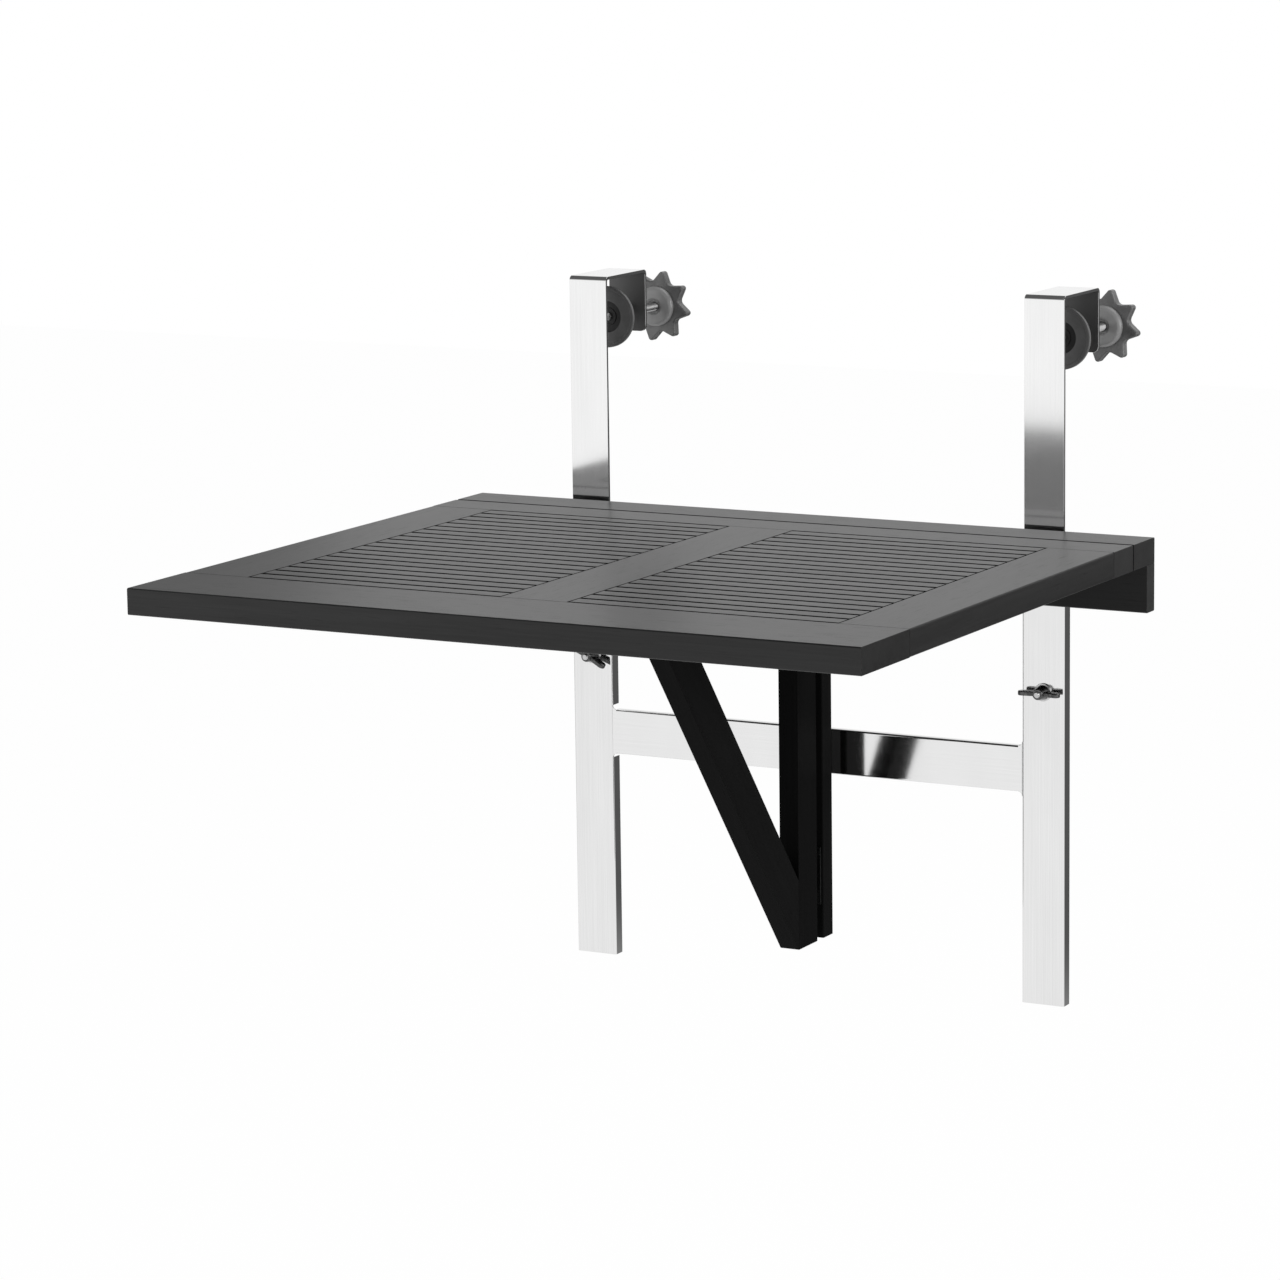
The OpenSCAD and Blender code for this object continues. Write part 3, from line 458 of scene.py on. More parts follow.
def bar_end(name, x, way):
    """The flat end of the crossbar, with a small hollow round above and below at the upright."""
    top, foot = bar_high.z - relief, bar_low.z + relief
    arc = [math.radians(a) for a in range(0, 91, 15)]
    bends = [(x + way * relief * (1 - math.sin(a)), relief * (1 - math.cos(a))) for a in arc]
    upper = [(u, bar_low.y, top + v) for u, v in bends]
    lower = [(u, bar_low.y, foot - v) for u, v in bends]
    ob = traced(name, [*reversed(upper), *lower])
    pick(ob, "FACE", lambda p: True)
    draw(0, sheet_t, 0)
    return done(ob)


upright("left_upright", HIGH_X)
upright("right_upright", LOW_X)
bar = channel("crossbar_sheet", (bar_low.x + relief, bar_low.y, bar_low.z + relief),
              (bar_high.x - relief, bar_high.y, bar_high.z - relief), along=0)
combine(bar, bar_end("end_left", bar_low.x, 1), "UNION")
combine(bar, bar_end("end_right", bar_high.x, -1), "UNION")
place(done(bar), "crossbar", "polished_steel", "crossbar_steel")
print("sheet", sheet_t, "mm, folds", fold_r, "mm")

# %% [markdown]
# ## The hooks
# Each hook is one flat bar. It is made as the blacksmith makes it: the straight bar first, then its end
# face is spun round a bend, drawn out along the seat, spun round the second bend and drawn down to the
# lip. The slot for the height adjustment and the hole for the spindle are cut last. The bar's cut edges
# and the faces inside the hook are marked for a rougher steel with painted shade, a dark grey colour.

# %% Hooks
bar_t, bend_in, lip_y, lip_foot, lip_corner_r, bar_ease = 3.0, 2.0, 77.0, -58.0, 6.0, 0.12
slot_top, slot_foot, slot_w, spindle_z, spindle_hole_r = -304.7, -531.3, 6.6, -40.0, 4.1
facing_in = 15.0


def turn_down(centre):
    """Spins the selected face a quarter turn downwards about an axis along X."""
    bpy.ops.mesh.spin(steps=8, angle=math.radians(90), center=Vector(centre) * MM, axis=(1, 0, 0))


def hook(node):
    low, high = cad_box(node)
    ob = block(node + "_bar", (low.x, -bar_t, low.z), (high.x, 0, -bend_in))
    pick(ob, "FACE", lambda p: near(p.z, -bend_in))
    turn_down((0, bend_in, -bend_in))
    draw(0, lip_y - 2 * bend_in, 0)
    turn_down((0, lip_y - bend_in, -bend_in))
    draw(0, 0, lip_foot + bend_in)
    done(ob)
    round_edges(ob, lip_corner_r, lambda p: near(p.z, lip_foot) and near(p.y, lip_y + bar_t / 2), 8)
    middle = (low.x + high.x) / 2
    slit = block("slot", (middle - slot_w / 2, -bar_t - 1, slot_foot), (middle + slot_w / 2, 1, slot_top))
    round_edges(slit, slot_w / 2 - 0.01, lambda p: near(p.y, -bar_t / 2), 10)
    combine(ob, slit)
    hole_end = lip_y + bar_t + 1
    combine(ob, rod("hole", spindle_hole_r, (middle, lip_y - 1, spindle_z), (middle, hole_end, spindle_z)))
    inside = Vector((middle, lip_y / 2, lip_foot / 2))

    def dark(p, n):
        """The faces that get painted shade: the bar's cut edges, and the faces that look to the middle of the
        hook.
        """
        return abs(n.x) > 0.9 or (p.y > 1 and p.z > lip_foot + 1 and n.dot(inside - p) > facing_in)

    # The marked faces get painted shade, a dark grey in the steel, and a rougher finish.
    mark(done(ease(ob, bar_ease, 1, 50)), dark)
    return place(ob, node, "polished_steel", "brushed_steel")


hook("left_hook")
hook("right_hook")
print("hook seat", lip_y, "mm deep, lip", -lip_foot, "mm long")

# %% [markdown]
# ## The clamps
# A clamp is a threaded spindle with a plastic disc on one end and a star knob on the other. Disc and boss
# are turned shapes: half the section is drawn as a line and spun round the axis. The knob's star is one
# closed line of rounded tips, straight flanks and rounded valleys, filled, drawn out to its thickness and
# rounded at both rims. The disc's well is marked for painted shade, a near-black colour.

# %% Clamps
left_x, right_x = -240.0, 240.0
disc_y, knob_y, knob_t = 33.0, 136.0, 10.0
disc_profile = [(15.4, 1.65), (26.3, 0.92), (26.7, 0.3), (27.4, 0), (29.1, 0), (29.75, 0.25), (30, 0.9),
                (30, 3.1), (29.6, 3.5), (26.5, 3.5), (18, 4.6), (18, 7.2), (17.7, 7.5), (3.05, 7.5),
                (3.05, 5), (7, 5), (7.2, 4.2), (8.6, 4.2), (8.8, 5), (15.6, 5), (16, 4.6), (16, 2.2)]
boss_profile = [(0, -3), (6, -3), (8.0, -5.4), (9.2, -6), (15.5, -6), (17.2, -5.66), (18.7, -4.68),
                (19.66, -3.2), (20, -1.5), (20, 3), (0, 3)]
back_profile = [(0, 5), (19, 5), (19, 10), (15, 14), (0, 14)]
spindle_profile = [(0, 35.9), (2.6, 35.7), (3.7, 36.1), (4, 36.8), (4, 37.7), (3, 37.7), (3, 40.8),
                   (3.3, 40.8), (3.3, knob_y + knob_t), (0, knob_y + knob_t)]
points, tip_r, tip_at, valley_r, root_r, knob_turn, knob_rim = 8, 3.0, 32.0, 5.0, 25.5, -11.0, 1.6
well_r, well_floor, thread_start, spindle_r, spindle_pitch = 16.1, 5.2, 41.2, 4.0, 1.25


def star_line(cx, y, cz, turn):
    """The knob's outline: rounded tips and rounded valleys, joined by straight flanks."""
    half = math.pi / points
    tip = Vector((tip_at, 0))
    valley = Vector((math.cos(half), math.sin(half))) * (root_r + valley_r)
    step = valley - tip
    flank = math.atan2(step.y, step.x) - math.acos((tip_r + valley_r) / step.length)
    ray = [flank * k / 4 for k in range(-4, 5)]
    crest = [tip + tip_r * Vector((math.cos(a), math.sin(a))) for a in ray]
    ray = [flank + 2 * (half - flank) * k / 8 for k in range(9)]
    hollow = [valley - valley_r * Vector((math.cos(a), math.sin(a))) for a in ray]
    spokes = [Matrix.Rotation(turn + 2 * half * i, 2) for i in range(points)]
    line = [spoke @ p for spoke in spokes for p in crest + hollow]
    return [(cx + p.x, y, cz + p.y) for p in line]


def star_knob(node, x):
    """The star with a turned boss in front, a dome behind and a bore for the spindle."""
    ob = traced(node + "_star", star_line(x, knob_y, spindle_z, math.radians(knob_turn)))
    pick(ob, "FACE", lambda p: True)
    draw(0, knob_t, 0)
    done(ob)
    round_edges(ob, knob_rim, lambda p: near(p.y, knob_y) or near(p.y, knob_y + knob_t), 3)
    for name, profile in (("boss", boss_profile), ("dome", back_profile)):
        combine(ob, turned(name, x, spindle_z, [(r, knob_y + y) for r, y in profile]), "UNION")
    combine(ob, rod("bore", spindle_hole_r, (x, knob_y - 10, spindle_z), (x, knob_y + knob_t, spindle_z)))
    return place(done(ob), node, "knob_plastic")


def spindle(node, x):
    """The rod, with its thread wound on."""
    ob = turned(node + "_rod", x, spindle_z, spindle_profile, steps=32)
    end = knob_y + knob_t - 1
    joined(ob, thread("wound", x, spindle_z, spindle_r, spindle_pitch, thread_start, end))
    return place(ob, node, "zinc_steel")


for side, x in (("left", left_x), ("right", right_x)):
    line = [(r, disc_y + y) for r, y in disc_profile]
    disc = turned(side + "_disc", x, spindle_z, line, closed=True, steps=96)
    well = Vector((x, disc_y, spindle_z))
    # The well's floor and wall are marked for painted shade.
    mark(disc, lambda p, n: (p - well).length < well_r and p.y < disc_y + well_floor)
    place(disc, side + "_pressure_disc", "pad_plastic")
    spindle(side + "_spindle", x)
    star_knob(side + "_star_knob", x)
print("clamps at x", left_x, right_x)

# %% [markdown]
# ## The wing nuts
# Below the table a bolt in each slot is locked by a wing nut. Its hub is a turned cone; a wing is drawn
# as a flat outline, given its thickness and rounded like a casting. The left nut stands a little turned,
# as in the photo.

# %% Lock bolts, washers and wing nuts
wing_span, wing_t, wing_turn, wing_end_r, wing_end_y, wing_rim = 42.0, 4.4, 27.0, 4.2, -8.2, 1.4
foot_y, head_y, bolt_r, bolt_pitch = -6.1, -18.7, 3.0, 1.0
hub_profile = [(3.05, foot_y), (7, foot_y), (6.4, -10), (5.2, head_y + 0.8), (4.6, head_y), (3.05, head_y)]
washer_profile = [(3.05, -6.1), (8.3, -6.1), (8.5, -5.9), (8.5, -4.5), (3.05, -4.5)]
bolt_profile = [(0, -20.7), (2.1, -20.7), (2.45, -20.3), (2.45, -1), (3, -1), (3, 0.3), (7, 0.3), (7, 2.2),
                (6.6, 2.9), (5.4, 3.4), (0, 3.5)]


def wing_nut(node, x, turn):
    """A hub with two wings, turned by some degrees about its bolt."""
    ob = turned(node + "_hub", x, bolt_z, hub_profile, closed=True, steps=40)
    tip = wing_span / 2 - wing_end_r
    bend = [math.radians(a) for a in range(20, 181, 20)]
    line = [(4, -1), (7, -1), (tip, -4),
            *((tip + wing_end_r * math.sin(a), wing_end_y + wing_end_r * math.cos(a)) for a in bend),
            (5, -10.6), (4, -10.6)]
    wing_z = (bolt_z - wing_t / 2, bolt_z + wing_t / 2)
    for s in (-1, 1):
        wing = traced("wing", [(x + s * u, foot_y + v, wing_z[0]) for u, v in line])
        pick(wing, "FACE", lambda p: True)
        draw(0, 0, wing_t)
        done(wing)
        round_edges(wing, wing_rim, lambda p: near(p.z, wing_z[0]) or near(p.z, wing_z[1]), 3)
        combine(ob, wing, "UNION")
    turned_about(ob, -turn, "Y", (x, 0, bolt_z))
    return place(done(ob), node, "cast_nut")


for side, x, turn in (("left", left_x, wing_turn), ("right", right_x, 0)):
    ring = turned(side + "_washer_ring", x, bolt_z, washer_profile, closed=True)
    place(ring, side + "_lock_washer", "zinc_steel")
    wing_nut(side + "_wing_nut", x, turn)
bolt = turned("left_lock_bolt", left_x, bolt_z, bolt_profile, steps=40)
joined(bolt, thread("wound", left_x, bolt_z, bolt_r, bolt_pitch, -20.6, -2))
place(bolt, "lock_bolts", "zinc_steel")
place(copied(bolt, "right_lock_bolt", (right_x - left_x, 0, 0)), "lock_bolts", "zinc_steel")
print("wing nuts", wing_span, "mm across")

# %% [markdown]
# ## Screws and nuts
# The small hardware is what a close look from below or behind meets. A screw head is turned on the lathe
# and its cross recess is cut with two thin blocks; a nut is a six-sided rod whose corners are turned off;
# each is made once and copied to every place. Threads are real helices, wound by a Screw modifier that is
# then applied.

# %% Screws, nuts, studs and spacers
chamfer_slope = 0.58
nut_across, nut_hole_r, nut_t, nut_washer_t, weld_across, weld_t = 10.0, 3.1, 5.0, 1.6, 13.0, 6.5
stud_x, stud_z, web_y = (-251.0, -229.0, 229.0, 251.0), -251.96, -4.5
board_y = cad_box("ledger_board")[0].y
post_x, post_screw_spots = 10.0, ((-3.3, -432.88), (-3.3, -453.12), (-4.5, -259.0))
panel_hinge_x, panel_hinge_y, leaf_z = 198.8, -64.5, -239.0
panel_leaf_holes = ((-23.04, 19.04), (0, 11.76), (23.04, 19.04))
bracket_hinge_y, bracket_hinge_zs = -30.7, (-335.56, -560.62)
bracket_leaf_out, bracket_leaf_holes = 4.2, (-19.04, 19.04)


def cross_cut(ob, x, y, z, reach, wide, deep):
    """Cuts a cross recess into a head whose face is at y and looks to -Y."""
    for a, b in ((reach, wide), (wide, reach)):
        combine(ob, block("recess", (x - a, y - 1, z - b), (x + a, y + deep, z + b)))
    return ob


def hex_nut(name, x, z, across, hole, start, end):
    """A hexagon nut along Y, its corners turned off at both faces."""
    corner = across / math.sqrt(3)
    nut = rod(name, corner, (x, start, z), (x, end, z), 6)
    flat, rim = across / 2, corner + 1
    slope = (rim - flat) * chamfer_slope
    cone = turned("cone", x, z, [(0, start), (flat - 0.1, start), (rim, start + slope),
                                 (rim, end - slope), (flat - 0.1, end), (0, end)])
    combine(nut, cone, "INTERSECT")
    combine(nut, rod("hole", hole, (x, start - 1, z), (x, end + 1, z)))
    return done(nut)


nut_y = board_y - nut_washer_t
nut_washer_profile = [(3.2, nut_y), (5.8, nut_y), (6, nut_y + 0.2), (6, board_y), (3.2, board_y)]
stud_profile = [(0, -47.1), (2.2, -47.1), (2.5, -46.7), (2.5, web_y), (0, web_y)]
sleeve_profile = [(3.15, -14.5), (5.7, -14.5), (6, -14.2), (6, -4.8), (5.7, web_y), (3.15, web_y)]
nut = joined(hex_nut("ledger_nut_0", stud_x[0], stud_z, nut_across, nut_hole_r, nut_y - nut_t, nut_y),
             turned("washer", stud_x[0], stud_z, nut_washer_profile, closed=True))
stud = turned("ledger_stud_0", stud_x[0], stud_z, stud_profile, steps=32)
joined(stud, thread("wound", stud_x[0], stud_z, bolt_r, bolt_pitch, -47.0, -15.0))
sleeve = turned("ledger_spacer_0", stud_x[0], stud_z, sleeve_profile, closed=True)
for piece, node in ((nut, "ledger_nuts"), (stud, "ledger_studs"), (sleeve, "ledger_spacers")):
    place(piece, node, "zinc_steel")
    for i, x in enumerate(stud_x[1:], 1):
        place(copied(piece, f"{node[:-1]}_{i}", (x - stud_x[0], 0, 0)), node, "zinc_steel")

weld = hex_nut("left_weld_nut", left_x, spindle_z, weld_across, spindle_hole_r, lip_y - weld_t, lip_y)
place(weld, "clamp_nuts", "zinc_steel")
place(copied(weld, "right_weld_nut", (right_x - left_x, 0, 0)), "clamp_nuts", "zinc_steel")

pan_profile = [(0, -2.6), (2.2, -2.5), (3.7, -1.9), (4.4, -0.9), (4.5, 0), (2.15, 0), (2.15, 15.8), (0, 16.9)]
pan = turned("pan_screw_0", post_x, 0.0, pan_profile)
cross_cut(pan, post_x, -2.6, 0.0, 2.1, 0.45, 1.7)
done(turned_about(pan, 180, "Z", (post_x, 0, 0)))
for i, (y, z) in enumerate(post_screw_spots):
    place(copied(pan, f"post_screw_{i}", (0, y, z)), "post_screws", "zinc_steel")

screw_profile = [(0, 0), (3.0, 0), (3.2, 0.15), (1.5, 1.6), (1.5, 10.5), (0, 12.8)]
wood_screw = turned("wood_screw", 0.0, 0.0, screw_profile)
done(cross_cut(wood_screw, 0.0, 0.0, 0.0, 1.6, 0.38, 1.1))
up_screw = turned_about(copied(wood_screw, "up_screw"), -90, "X", (0, 0, 0))
back_screw = turned_about(copied(wood_screw, "back_screw"), 180, "Z", (0, 0, 0))
for node, way in (("panel_hinge_fixed_screws", 1), ("panel_hinge_moving_screws", -1)):
    for side in (-1, 1):
        for along, out in panel_leaf_holes:
            spot = (side * panel_hinge_x + along, panel_hinge_y + way * out, leaf_z)
            place(copied(up_screw, f"{node[:-1]}_{side + 1}_{int(along) + 30}", spot), node, "zinc_steel")
for node, screw, way in (("bracket_hinge_fixed_screws", wood_screw, 1),
                         ("bracket_hinge_moving_screws", back_screw, -1)):
    for i, z in enumerate(bracket_hinge_zs):
        for along in bracket_leaf_holes:
            spot = (post_x, bracket_hinge_y + way * bracket_leaf_out, z + along)
            place(copied(screw, f"{node[:-1]}_{i}_{int(along) + 20}", spot), node, "zinc_steel")
for ob in (pan, wood_screw, up_screw, back_screw):
    bpy.data.objects.remove(ob, do_unlink=True)
print("small hardware placed")

# %% [markdown]
# ## Hinges
# The hinge leaves and pins are taken from the exact model, knuckle by knuckle. A copy of each mesh is
# merged and its sharp edges are broken with a bevel, as a tumbled and coated hinge has.

# %% Hinges from the exact model
def from_cad(node, width, slot):
    """A copy of a CAD node's mesh with its edges broken."""
    ob = bpy.data.objects.new(node + "_eased", frame["nodes"][node].data.copy())
    bpy.context.scene.collection.objects.link(ob)
    done(ob)
    ease(ob, width, 2, 45)
    return place(done(ob), node, slot)


leaf_edge, pin_edge = 0.12, 0.3
for node in ("panel_hinge_fixed_leaves", "panel_hinge_moving_leaves", "bracket_hinge_fixed_leaves",
             "bracket_hinge_moving_leaves"):
    from_cad(node, leaf_edge, "hinge_steel")
for node in ("panel_hinge_pins", "bracket_hinge_pins"):
    from_cad(node, pin_edge, "zinc_steel")
print("hinges done")

# %% [markdown]
# ## The black-stained wood
# Every board stores its own wood direction in its mesh, as a place along the fibres, across them and
# through the board, with a shift of its own. The shader draws long fibres and pores from it, so that the
# grain runs along each board and no two boards look alike. The stain is almost black; the grey of the top
# is the pale studio mirrored in a satin lacquer.

# %% Grain
random.seed(7)


def lay_grain(ob, along, across):
    """Stores each point's place in the board's own wood, in metres."""
    along, across = Vector(along).normalized(), Vector(across).normalized()
    through = along.cross(across)
    shift = [random.uniform(-9, 9) for _ in range(3)]
    grain = ob.data.attributes.new("grain", "FLOAT_VECTOR", "POINT")
    for v, g in zip(ob.data.vertices, grain.data):
        g.vector = (v.co.dot(along) + shift[0], v.co.dot(across) + shift[1], v.co.dot(through) + shift[2])
    tone = ob.data.attributes.new("tone", "FLOAT", "POINT")
    value = random.random()
    for t in tone.data:
        t.value = value


brace_way = Vector((0, -251.4, 317.1))
grain_ways = {"gate_post": (Z, X), "rear_post": (Z, X), "brace": (brace_way, X),
              "left_stile": (Y, X), "middle_stile": (Y, X), "right_stile": (Y, X)}
for ob, node in boards:
    lay_grain(ob, *grain_ways.get(node, (X, Y)))
print("grain laid on", len(boards), "boards")

# %% [markdown]
# ## Shader maths
# A shader is a sum of many small steps. The class below wraps one output of a node, so that a step can be
# written as plain arithmetic, and the maker adds any other node from its type, its settings and its
# inputs.

# %% A small class for shader maths
class Wire:
    """One output of a shader node."""

    def __init__(self, maker, socket):
        self.maker, self.socket = maker, socket

    def _with(self, operation, a, b):
        return self.maker.node("ShaderNodeMath", {"operation": operation}, {0: a, 1: b})

    def __add__(self, other):
        return self._with("ADD", self, other)

    def __radd__(self, other):
        return self._with("ADD", other, self)

    def __sub__(self, other):
        return self._with("SUBTRACT", self, other)

    def __rsub__(self, other):
        return self._with("SUBTRACT", other, self)

    def __mul__(self, other):
        return self._with("MULTIPLY", self, other)

    def __rmul__(self, other):
        return self._with("MULTIPLY", other, self)

    def __truediv__(self, other):
        return self._with("DIVIDE", self, other)

    def __rtruediv__(self, other):
        return self._with("DIVIDE", other, self)

    def __pow__(self, other):
        return self._with("POWER", self, other)


class Finish:
    """The node tree of a material or world under construction."""

    def __init__(self, owner):
        owner.use_nodes = True
        self.owner, self.tree = owner, owner.node_tree
        self.tree.nodes.clear()

    def node(self, kind, settings=None, inputs=None, out=0):
        """Adds a node with these settings and inputs, and gives one of its outputs."""
        made = self.tree.nodes.new(kind)
        for key, value in (settings or {}).items():
            setattr(made, key, value)
        for key, value in (inputs or {}).items():
            if isinstance(value, Wire):
                self.tree.links.new(value.socket, made.inputs[key])
            else:
                made.inputs[key].default_value = value
        return Wire(self, made.outputs[out])

    def ramp(self, value, low, high, shape="LINEAR"):
        """Value taken from low..high to 0..1, held at the ends."""
        return self.node("ShaderNodeMapRange", {"interpolation_type": shape},
                         {"Value": value, "From Min": low, "From Max": high})

    def noise(self, vector, scale, detail=4.0, roughness=0.5):
        return self.node("ShaderNodeTexNoise", {}, {"Vector": vector, "Scale": scale, "Detail": detail,
                                                    "Roughness": roughness})

    def stretched(self, vector, sizes):
        return self.node("ShaderNodeVectorMath", {"operation": "MULTIPLY"}, {0: vector, 1: sizes})

    def here(self, kind="Object"):
        """The place on the object, in metres."""
        return self.node("ShaderNodeTexCoord", {}, out=kind)

    def part(self, vector, letter):
        """One of the three numbers of a vector."""
        return self.node("ShaderNodeSeparateXYZ", {}, {0: vector}, out=letter)

    def stored(self, name, out="Fac"):
        """An attribute that a mesh brings along, or 0 where it has none of that name."""
        return self.node("ShaderNodeAttribute", {"attribute_name": name}, out=out)

    def mix(self, share, a, b):
        return self.node("ShaderNodeMix", {"data_type": "RGBA"}, {0: share, 6: a, 7: b}, out=2)

    def bump(self, height, strength, distance):
        return self.node("ShaderNodeBump", {}, {"Height": height, "Strength": strength,
                                                "Distance": distance * MM})

    def end(self, shader, kind="ShaderNodeOutputMaterial"):
        """Links the last shader to the output."""
        made = self.tree.nodes.new(kind)
        self.tree.links.new(shader.socket, made.inputs["Surface"])

    def surface(self, inputs):
        """Ends with one Principled shader."""
        self.end(self.node("ShaderNodeBsdfPrincipled", {}, inputs))
        return self.owner


def grey(value):
    return (value, value, value, 1.0)


print("shader maths ready")

# %% [markdown]
# ## The wood's finish
# Fine fibres, a wider figure and open pores are three noises, each stretched along the grain. The lacquer
# over them is one Principled shader. Where no light gets in, it gives way to a black that mirrors
# nothing: in the gaps between the slats by height, and on the marked face of the ledger by half.

# %% Black-stained wood
top_z, gap_start, gap_full = -213.0, 0.03, 0.22


def stained_wood(name, dark, light, shine, matt, gaps=False):
    f = Finish(bpy.data.materials.new(name))
    grain, tone = f.stored("grain", "Vector"), f.stored("tone")
    fibres = f.noise(f.stretched(grain, (9.0, 420.0, 420.0)), 1.0, 5.0, 0.62)
    figure = f.noise(f.stretched(grain, (3.0, 45.0, 45.0)), 1.0, 3.0, 0.5)
    pores = f.ramp(f.noise(f.stretched(grain, (38.0, 900.0, 900.0)), 1.0, 2.0, 0.5), 0.62, 0.72)
    shade = fibres * 0.5 + figure * 0.35 + tone * 0.3
    colour = f.mix(f.ramp(shade, 0.35, 0.9), grey(dark), grey(light))
    colour = f.mix(pores * 0.5, colour, grey(0.002))
    rough = matt + fibres * 0.05 + pores * 0.06
    normal = f.bump(fibres * 0.7 - pores * 0.8, 0.35, 0.12)
    lacquer = f.node("ShaderNodeBsdfPrincipled", {}, {
        "Base Color": colour, "Roughness": rough, "Normal": normal, "Specular IOR Level": shine})
    # Painted shade: in the gaps between the slats, by height, and on the ledger's marked face, by half, the
    # lacquer gives way to a near-black diffuse.
    if gaps:
        deep = f.ramp(f.part(f.here(), "Z"), (top_z - gap_start) * MM, (top_z - gap_full) * MM)
    else:
        deep = f.stored("hollow") * 0.5
    painted_shade_black = f.node("ShaderNodeBsdfDiffuse", {}, {"Color": grey(0.003)})
    f.end(f.node("ShaderNodeMixShader", {}, {0: deep, 1: lacquer, 2: painted_shade_black}))
    return f.owner


print("wood ready")

# %% [markdown]
# ## Metals and plastics
# The flat bars and the frame are polished steel with very fine streaks along the sheet, seen mostly in
# how sharply they mirror the white studio. The bars' cut edges and the hooks' insides, marked before, are
# rougher and carry painted shade. Small hardware is zinc plated and the hinges are coated black. The knobs
# and discs are moulded plastic with a faint fine grain; a disc's well carries painted shade and the front
# of a knob's boss a painted highlight, a paler grey.

# %% Metals and plastics
def steel(name, smooth, dark, light, along=(1400.0, 1400.0, 7.0)):
    """Polished sheet, streaked in the direction with the smallest of the three numbers."""
    f = Finish(bpy.data.materials.new(name))
    streaks = f.noise(f.stretched(f.here(), along), 1.0, 4.0, 0.6)
    clouds = f.noise(f.stretched(f.here(), (26.0, 26.0, 9.0)), 1.0, 3.0, 0.5)
    colour = f.mix(f.ramp(streaks * 0.6 + clouds * 0.4, 0.3, 0.7), grey(dark), grey(light))
    # Painted shade: marked faces are mixed to a dark grey, and they are rougher too.
    rough_and_painted_shade = f.stored("hollow")
    rough = smooth + streaks * 0.06 + clouds * 0.04 + rough_and_painted_shade * 0.42
    return f.surface({"Base Color": f.mix(rough_and_painted_shade, colour, grey(0.14)), "Roughness": rough, "Metallic": 1.0,
                      "Normal": f.bump(streaks, 0.12, 0.02)})


def metal(name, dark, light, rough, scale, height=0.02):
    """Plated, coated or cast metal with a cloudy surface."""
    f = Finish(bpy.data.materials.new(name))
    cloud = f.noise(f.here(), scale, 4.0, 0.6)
    colour = f.mix(f.ramp(cloud, 0.35, 0.65), grey(dark), grey(light))
    return f.surface({"Base Color": colour, "Roughness": rough + cloud * 0.14, "Metallic": 1.0,
                      "Normal": f.bump(cloud, 0.25, height)})


def plastic(name, dark, light, rough, scale, height=0.03):
    """Moulded plastic: painted shade, nearly black, on marked faces, and a painted highlight, paler, on the
    front of a knob's boss.
    """
    f = Finish(bpy.data.materials.new(name))
    grain = f.noise(f.here(), scale, 3.0, 0.6)
    wide = f.noise(f.here(), scale * 0.04, 3.0, 0.5)
    colour = f.mix(f.ramp(grain * 0.4 + wide * 0.6, 0.35, 0.65), grey(dark), grey(light))
    # Painted shade: marked faces, such as a disc's well, are mixed to near black.
    colour = f.mix(f.stored("hollow"), colour, grey(0.016))
    # Painted highlight: the front of a knob's boss is mixed towards a pale grey.
    depth = f.part(f.here(), "Y")
    before_star = f.ramp(depth, (knob_y + 0.1) * MM, (knob_y - 1.2) * MM)
    on_knob = f.ramp(depth, knob_y * 0.9 * MM, knob_y * 0.91 * MM)
    colour = f.mix(before_star * on_knob * (0.50 + wide * 0.6), colour, grey(0.34))
    return f.surface({"Base Color": colour, "Roughness": rough + wide * 0.16,
                      "Normal": f.bump(grain, 0.3, height)})


def plain_dowel(name):
    """Bare pale wood with fibres along Y."""
    f = Finish(bpy.data.materials.new(name))
    fibres = f.noise(f.stretched(f.here(), (300.0, 40.0, 300.0)), 1.0, 4.0, 0.6)
    colour = f.mix(fibres, (0.50, 0.32, 0.16, 1.0), (0.66, 0.47, 0.27, 1.0))
    return f.surface({"Base Color": colour, "Roughness": 0.6 + fibres * 0.15})


# Each row: the maker, then its own values in the order of its definition.
recipes = {
    "stained_wood": (stained_wood, 0.014, 0.040, 0.30, 0.30),
    "slat_wood": (stained_wood, 0.014, 0.040, 0.30, 0.30, True),
    # A darker, matt copy of the stained wood for the bracket under the top: its darker colour is painted
    # shade.
    "matt_wood": (stained_wood, 0.003, 0.009, 0.03, 0.60),
    "plain_dowel": (plain_dowel,),
    "polished_steel": (steel, 0.04, 0.74, 0.83),
    "crossbar_steel": (steel, 0.04, 0.77, 0.83, (7.0, 900.0, 900.0)),
    "brushed_steel": (steel, 0.05, 0.84, 0.93),
    "zinc_steel": (metal, 0.52, 0.66, 0.24, 900.0),
    "cast_nut": (metal, 0.05, 0.13, 0.16, 420.0, 0.05),
    "hinge_steel": (metal, 0.03, 0.06, 0.38, 700.0),
    "pad_plastic": (plastic, 0.120, 0.175, 0.36, 1500.0),
    "knob_plastic": (plastic, 0.085, 0.190, 0.14, 1200.0),
}
materials = {name: make(name, *values) for name, (make, *values) in recipes.items()}
for name, pieces in finishes.items():
    for ob in pieces:
        ob.data.materials.clear()
        ob.data.materials.append(materials[name])
for node in ("panel_dowels", "ledger_dowels", "brace_dowels"):
    ob = frame["nodes"][node]
    ob.data.materials.clear()
    ob.data.materials.append(materials["plain_dowel"])
print("materials", sorted(materials))

# %% [markdown]
# ## The studio
# The photo is a product shot on white. The floor is a pale stage a railing's height below the hooks. The
# world is moderate where it lights the table, and white where the camera or a mirror sees it, which is
# what makes the polished steel read white. Behind and above the table mirrors see it darker, as they
# would a room there. Soft lamps from above, from the right and from low behind give the top its slow
# gradient.

# %% Floor and world
floor_z, floor_size, floor_share = -1.02, 14.0, 0.985


def light_paths(f):
    """What a ray is: seen by the camera, mirrored, or passed through glass."""
    kinds = ("Camera", "Glossy", "Transmission")
    return [f.node("ShaderNodeLightPath", out=f"Is {kind} Ray") for kind in kinds]


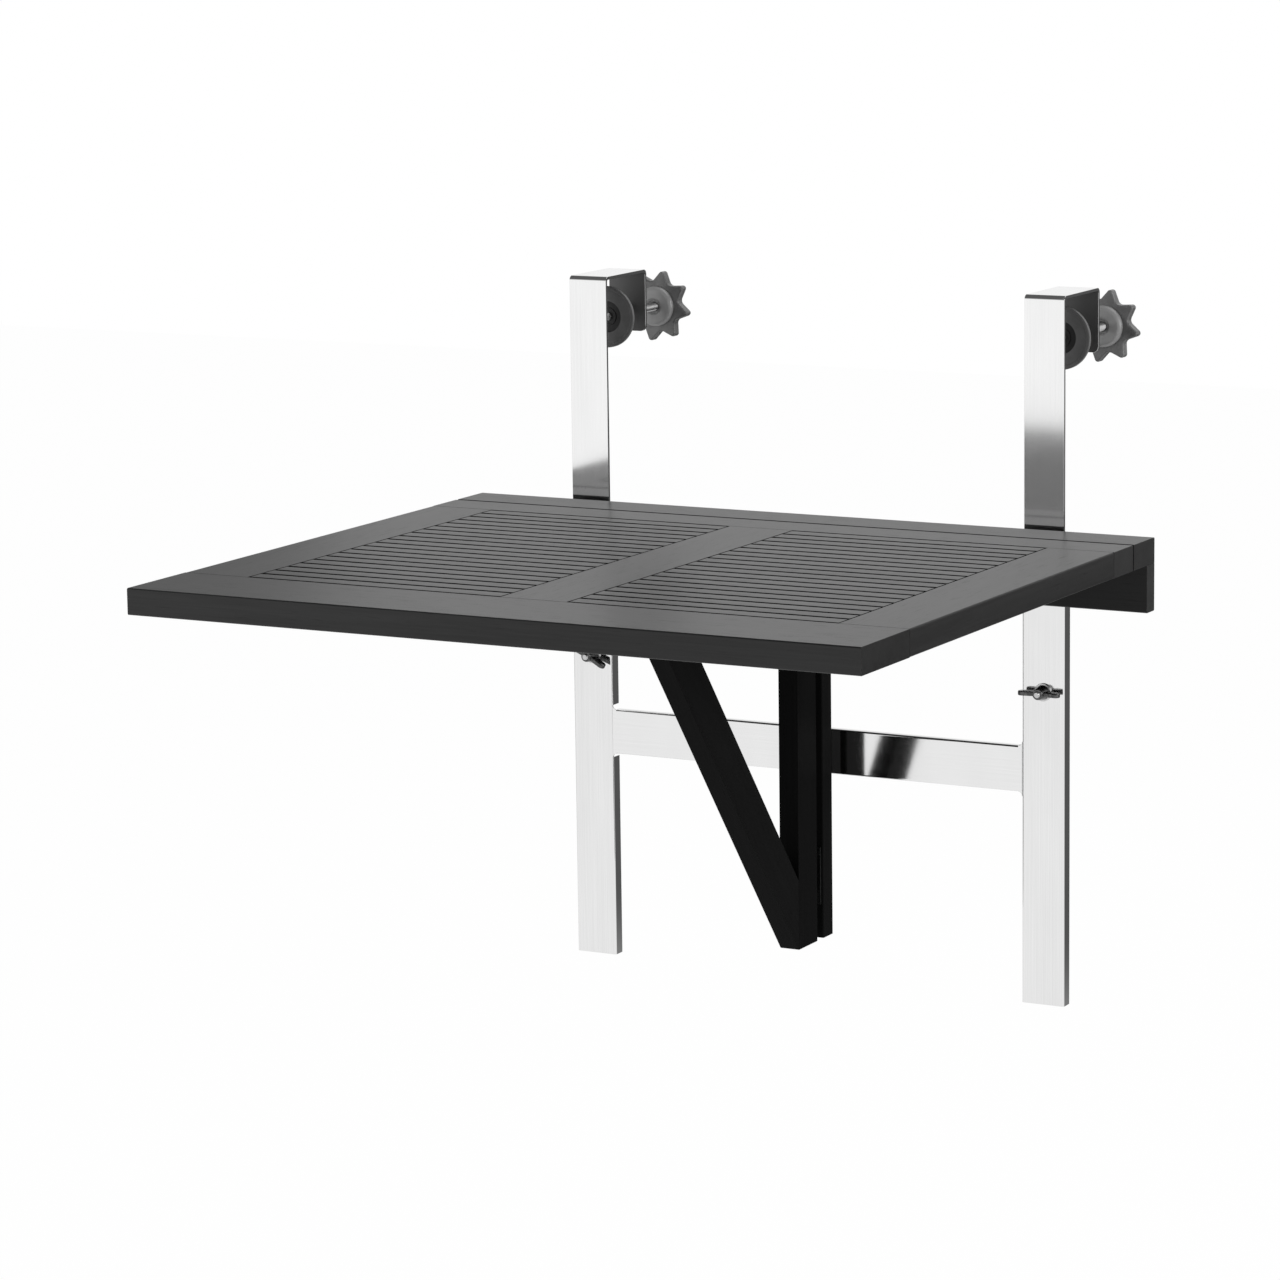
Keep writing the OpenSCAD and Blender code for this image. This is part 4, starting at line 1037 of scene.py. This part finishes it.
deselect()
bpy.ops.mesh.primitive_plane_add(size=floor_size, location=(0, 0, floor_z))
floor = named("studio_floor")
f = Finish(bpy.data.materials.new("studio_white"))
eye, mirror, glass = light_paths(f)
behind = f.ramp(f.part(f.here(), "Y"), 0.15, 1.6, "SMOOTHSTEP")
lit = f.node("ShaderNodeBsdfDiffuse", {}, {"Color": grey(0.8)})
glow = f.node("ShaderNodeEmission", {}, {"Color": grey(1.0), "Strength": 1.0 - mirror * behind * 0.9})
f.end(f.node("ShaderNodeMixShader", {}, {0: eye * floor_share + mirror + glass, 1: lit, 2: glow}))
floor.data.materials.append(f.owner)

world = bpy.data.worlds.new("studio_world")
bpy.context.scene.world = world
f = Finish(world)
eye, mirror, glass = light_paths(f)
way = f.here("Generated")
behind = f.ramp(f.part(way, "Y"), 0.0, 0.5, "SMOOTHSTEP")
above = f.ramp(f.part(way, "Z"), 0.22, 0.6, "SMOOTHSTEP")
mirrored = mirror * (0.60 - behind * 0.55) * (1.0 - above) - mirror * above * 0.30
strength = 0.40 + (eye + glass) * 0.60 + mirrored
back = f.node("ShaderNodeBackground", {}, {"Color": grey(1.0), "Strength": strength})
f.end(back, "ShaderNodeOutputWorld")
print("floor at", floor_z, "m")

# %% Lamps
def lamp(name, sizes, power, spot, target, mirrored=True):
    """A soft lamp of two sizes that looks at a target, in metres. Mirrors show it or not."""
    deselect()
    turn = (Vector(target) - Vector(spot)).to_track_quat("-Z", "Y").to_euler()
    bpy.ops.object.light_add(type="AREA", location=spot, rotation=turn)
    ob = bpy.context.object
    ob.name = ob.data.name = name
    ob.data.shape, ob.data.energy = "RECTANGLE", power
    ob.data.size, ob.data.size_y = sizes
    ob.visible_camera, ob.visible_glossy = False, mirrored


lamp("key_above", (2.2, 2.2), 26.0, (0.9, 0.9, 2.2), (0, -0.3, -0.3))
lamp("right_side", (1.4, 1.4), 21.0, (2.4, 0.1, 0.3), (0.2, -0.3, -0.3))
lamp("left_front", (0.7, 0.7), 9.0, (-1.25, -1.6, 0.1), (-0.35, -0.6, -0.25), mirrored=False)
lamp("low_behind", (2.4, 1.3), 4.7, (-0.6, 2.2, 0.62), (0.1, 0.0, -0.2))

# %% [markdown]
# ## The camera
# The camera was found by fitting the real sizes to the corners seen in the photo: a long lens, a little
# above the table and to its right, tilted by less than a degree.

# %% Camera
photo_px = 1280
focal_px, yaw, pitch, roll = 4799.6, 28.472, 10.16, -0.789
camera_mm = (2005.8, -4047.6, 474.5)


def camera_axes(yaw, pitch, roll):
    """The camera's own X, Y and Z: to the right, up and backwards."""
    a, b, c = (math.radians(v) for v in (yaw, pitch, roll))
    ahead = Vector((-math.sin(a) * math.cos(b), math.cos(a) * math.cos(b), -math.sin(b)))
    right = Vector((math.cos(a), math.sin(a), 0))
    up = right.cross(ahead)
    return (right * math.cos(c) + up * math.sin(c), up * math.cos(c) - right * math.sin(c), -ahead)


deselect()
bpy.ops.object.camera_add()
camera = bpy.context.object
camera.name = camera.data.name = "photo_camera"
turn = Matrix(camera_axes(yaw, pitch, roll)).transposed().to_4x4()
camera.matrix_world = Matrix.Translation(Vector(camera_mm) * MM) @ turn
camera.data.sensor_width = 36.0
camera.data.lens = focal_px / photo_px * camera.data.sensor_width
camera.data.clip_end = 60.0
bpy.context.scene.camera = camera
bpy.context.scene.view_settings.view_transform = "Standard"
print("lens", round(camera.data.lens, 1), "mm")
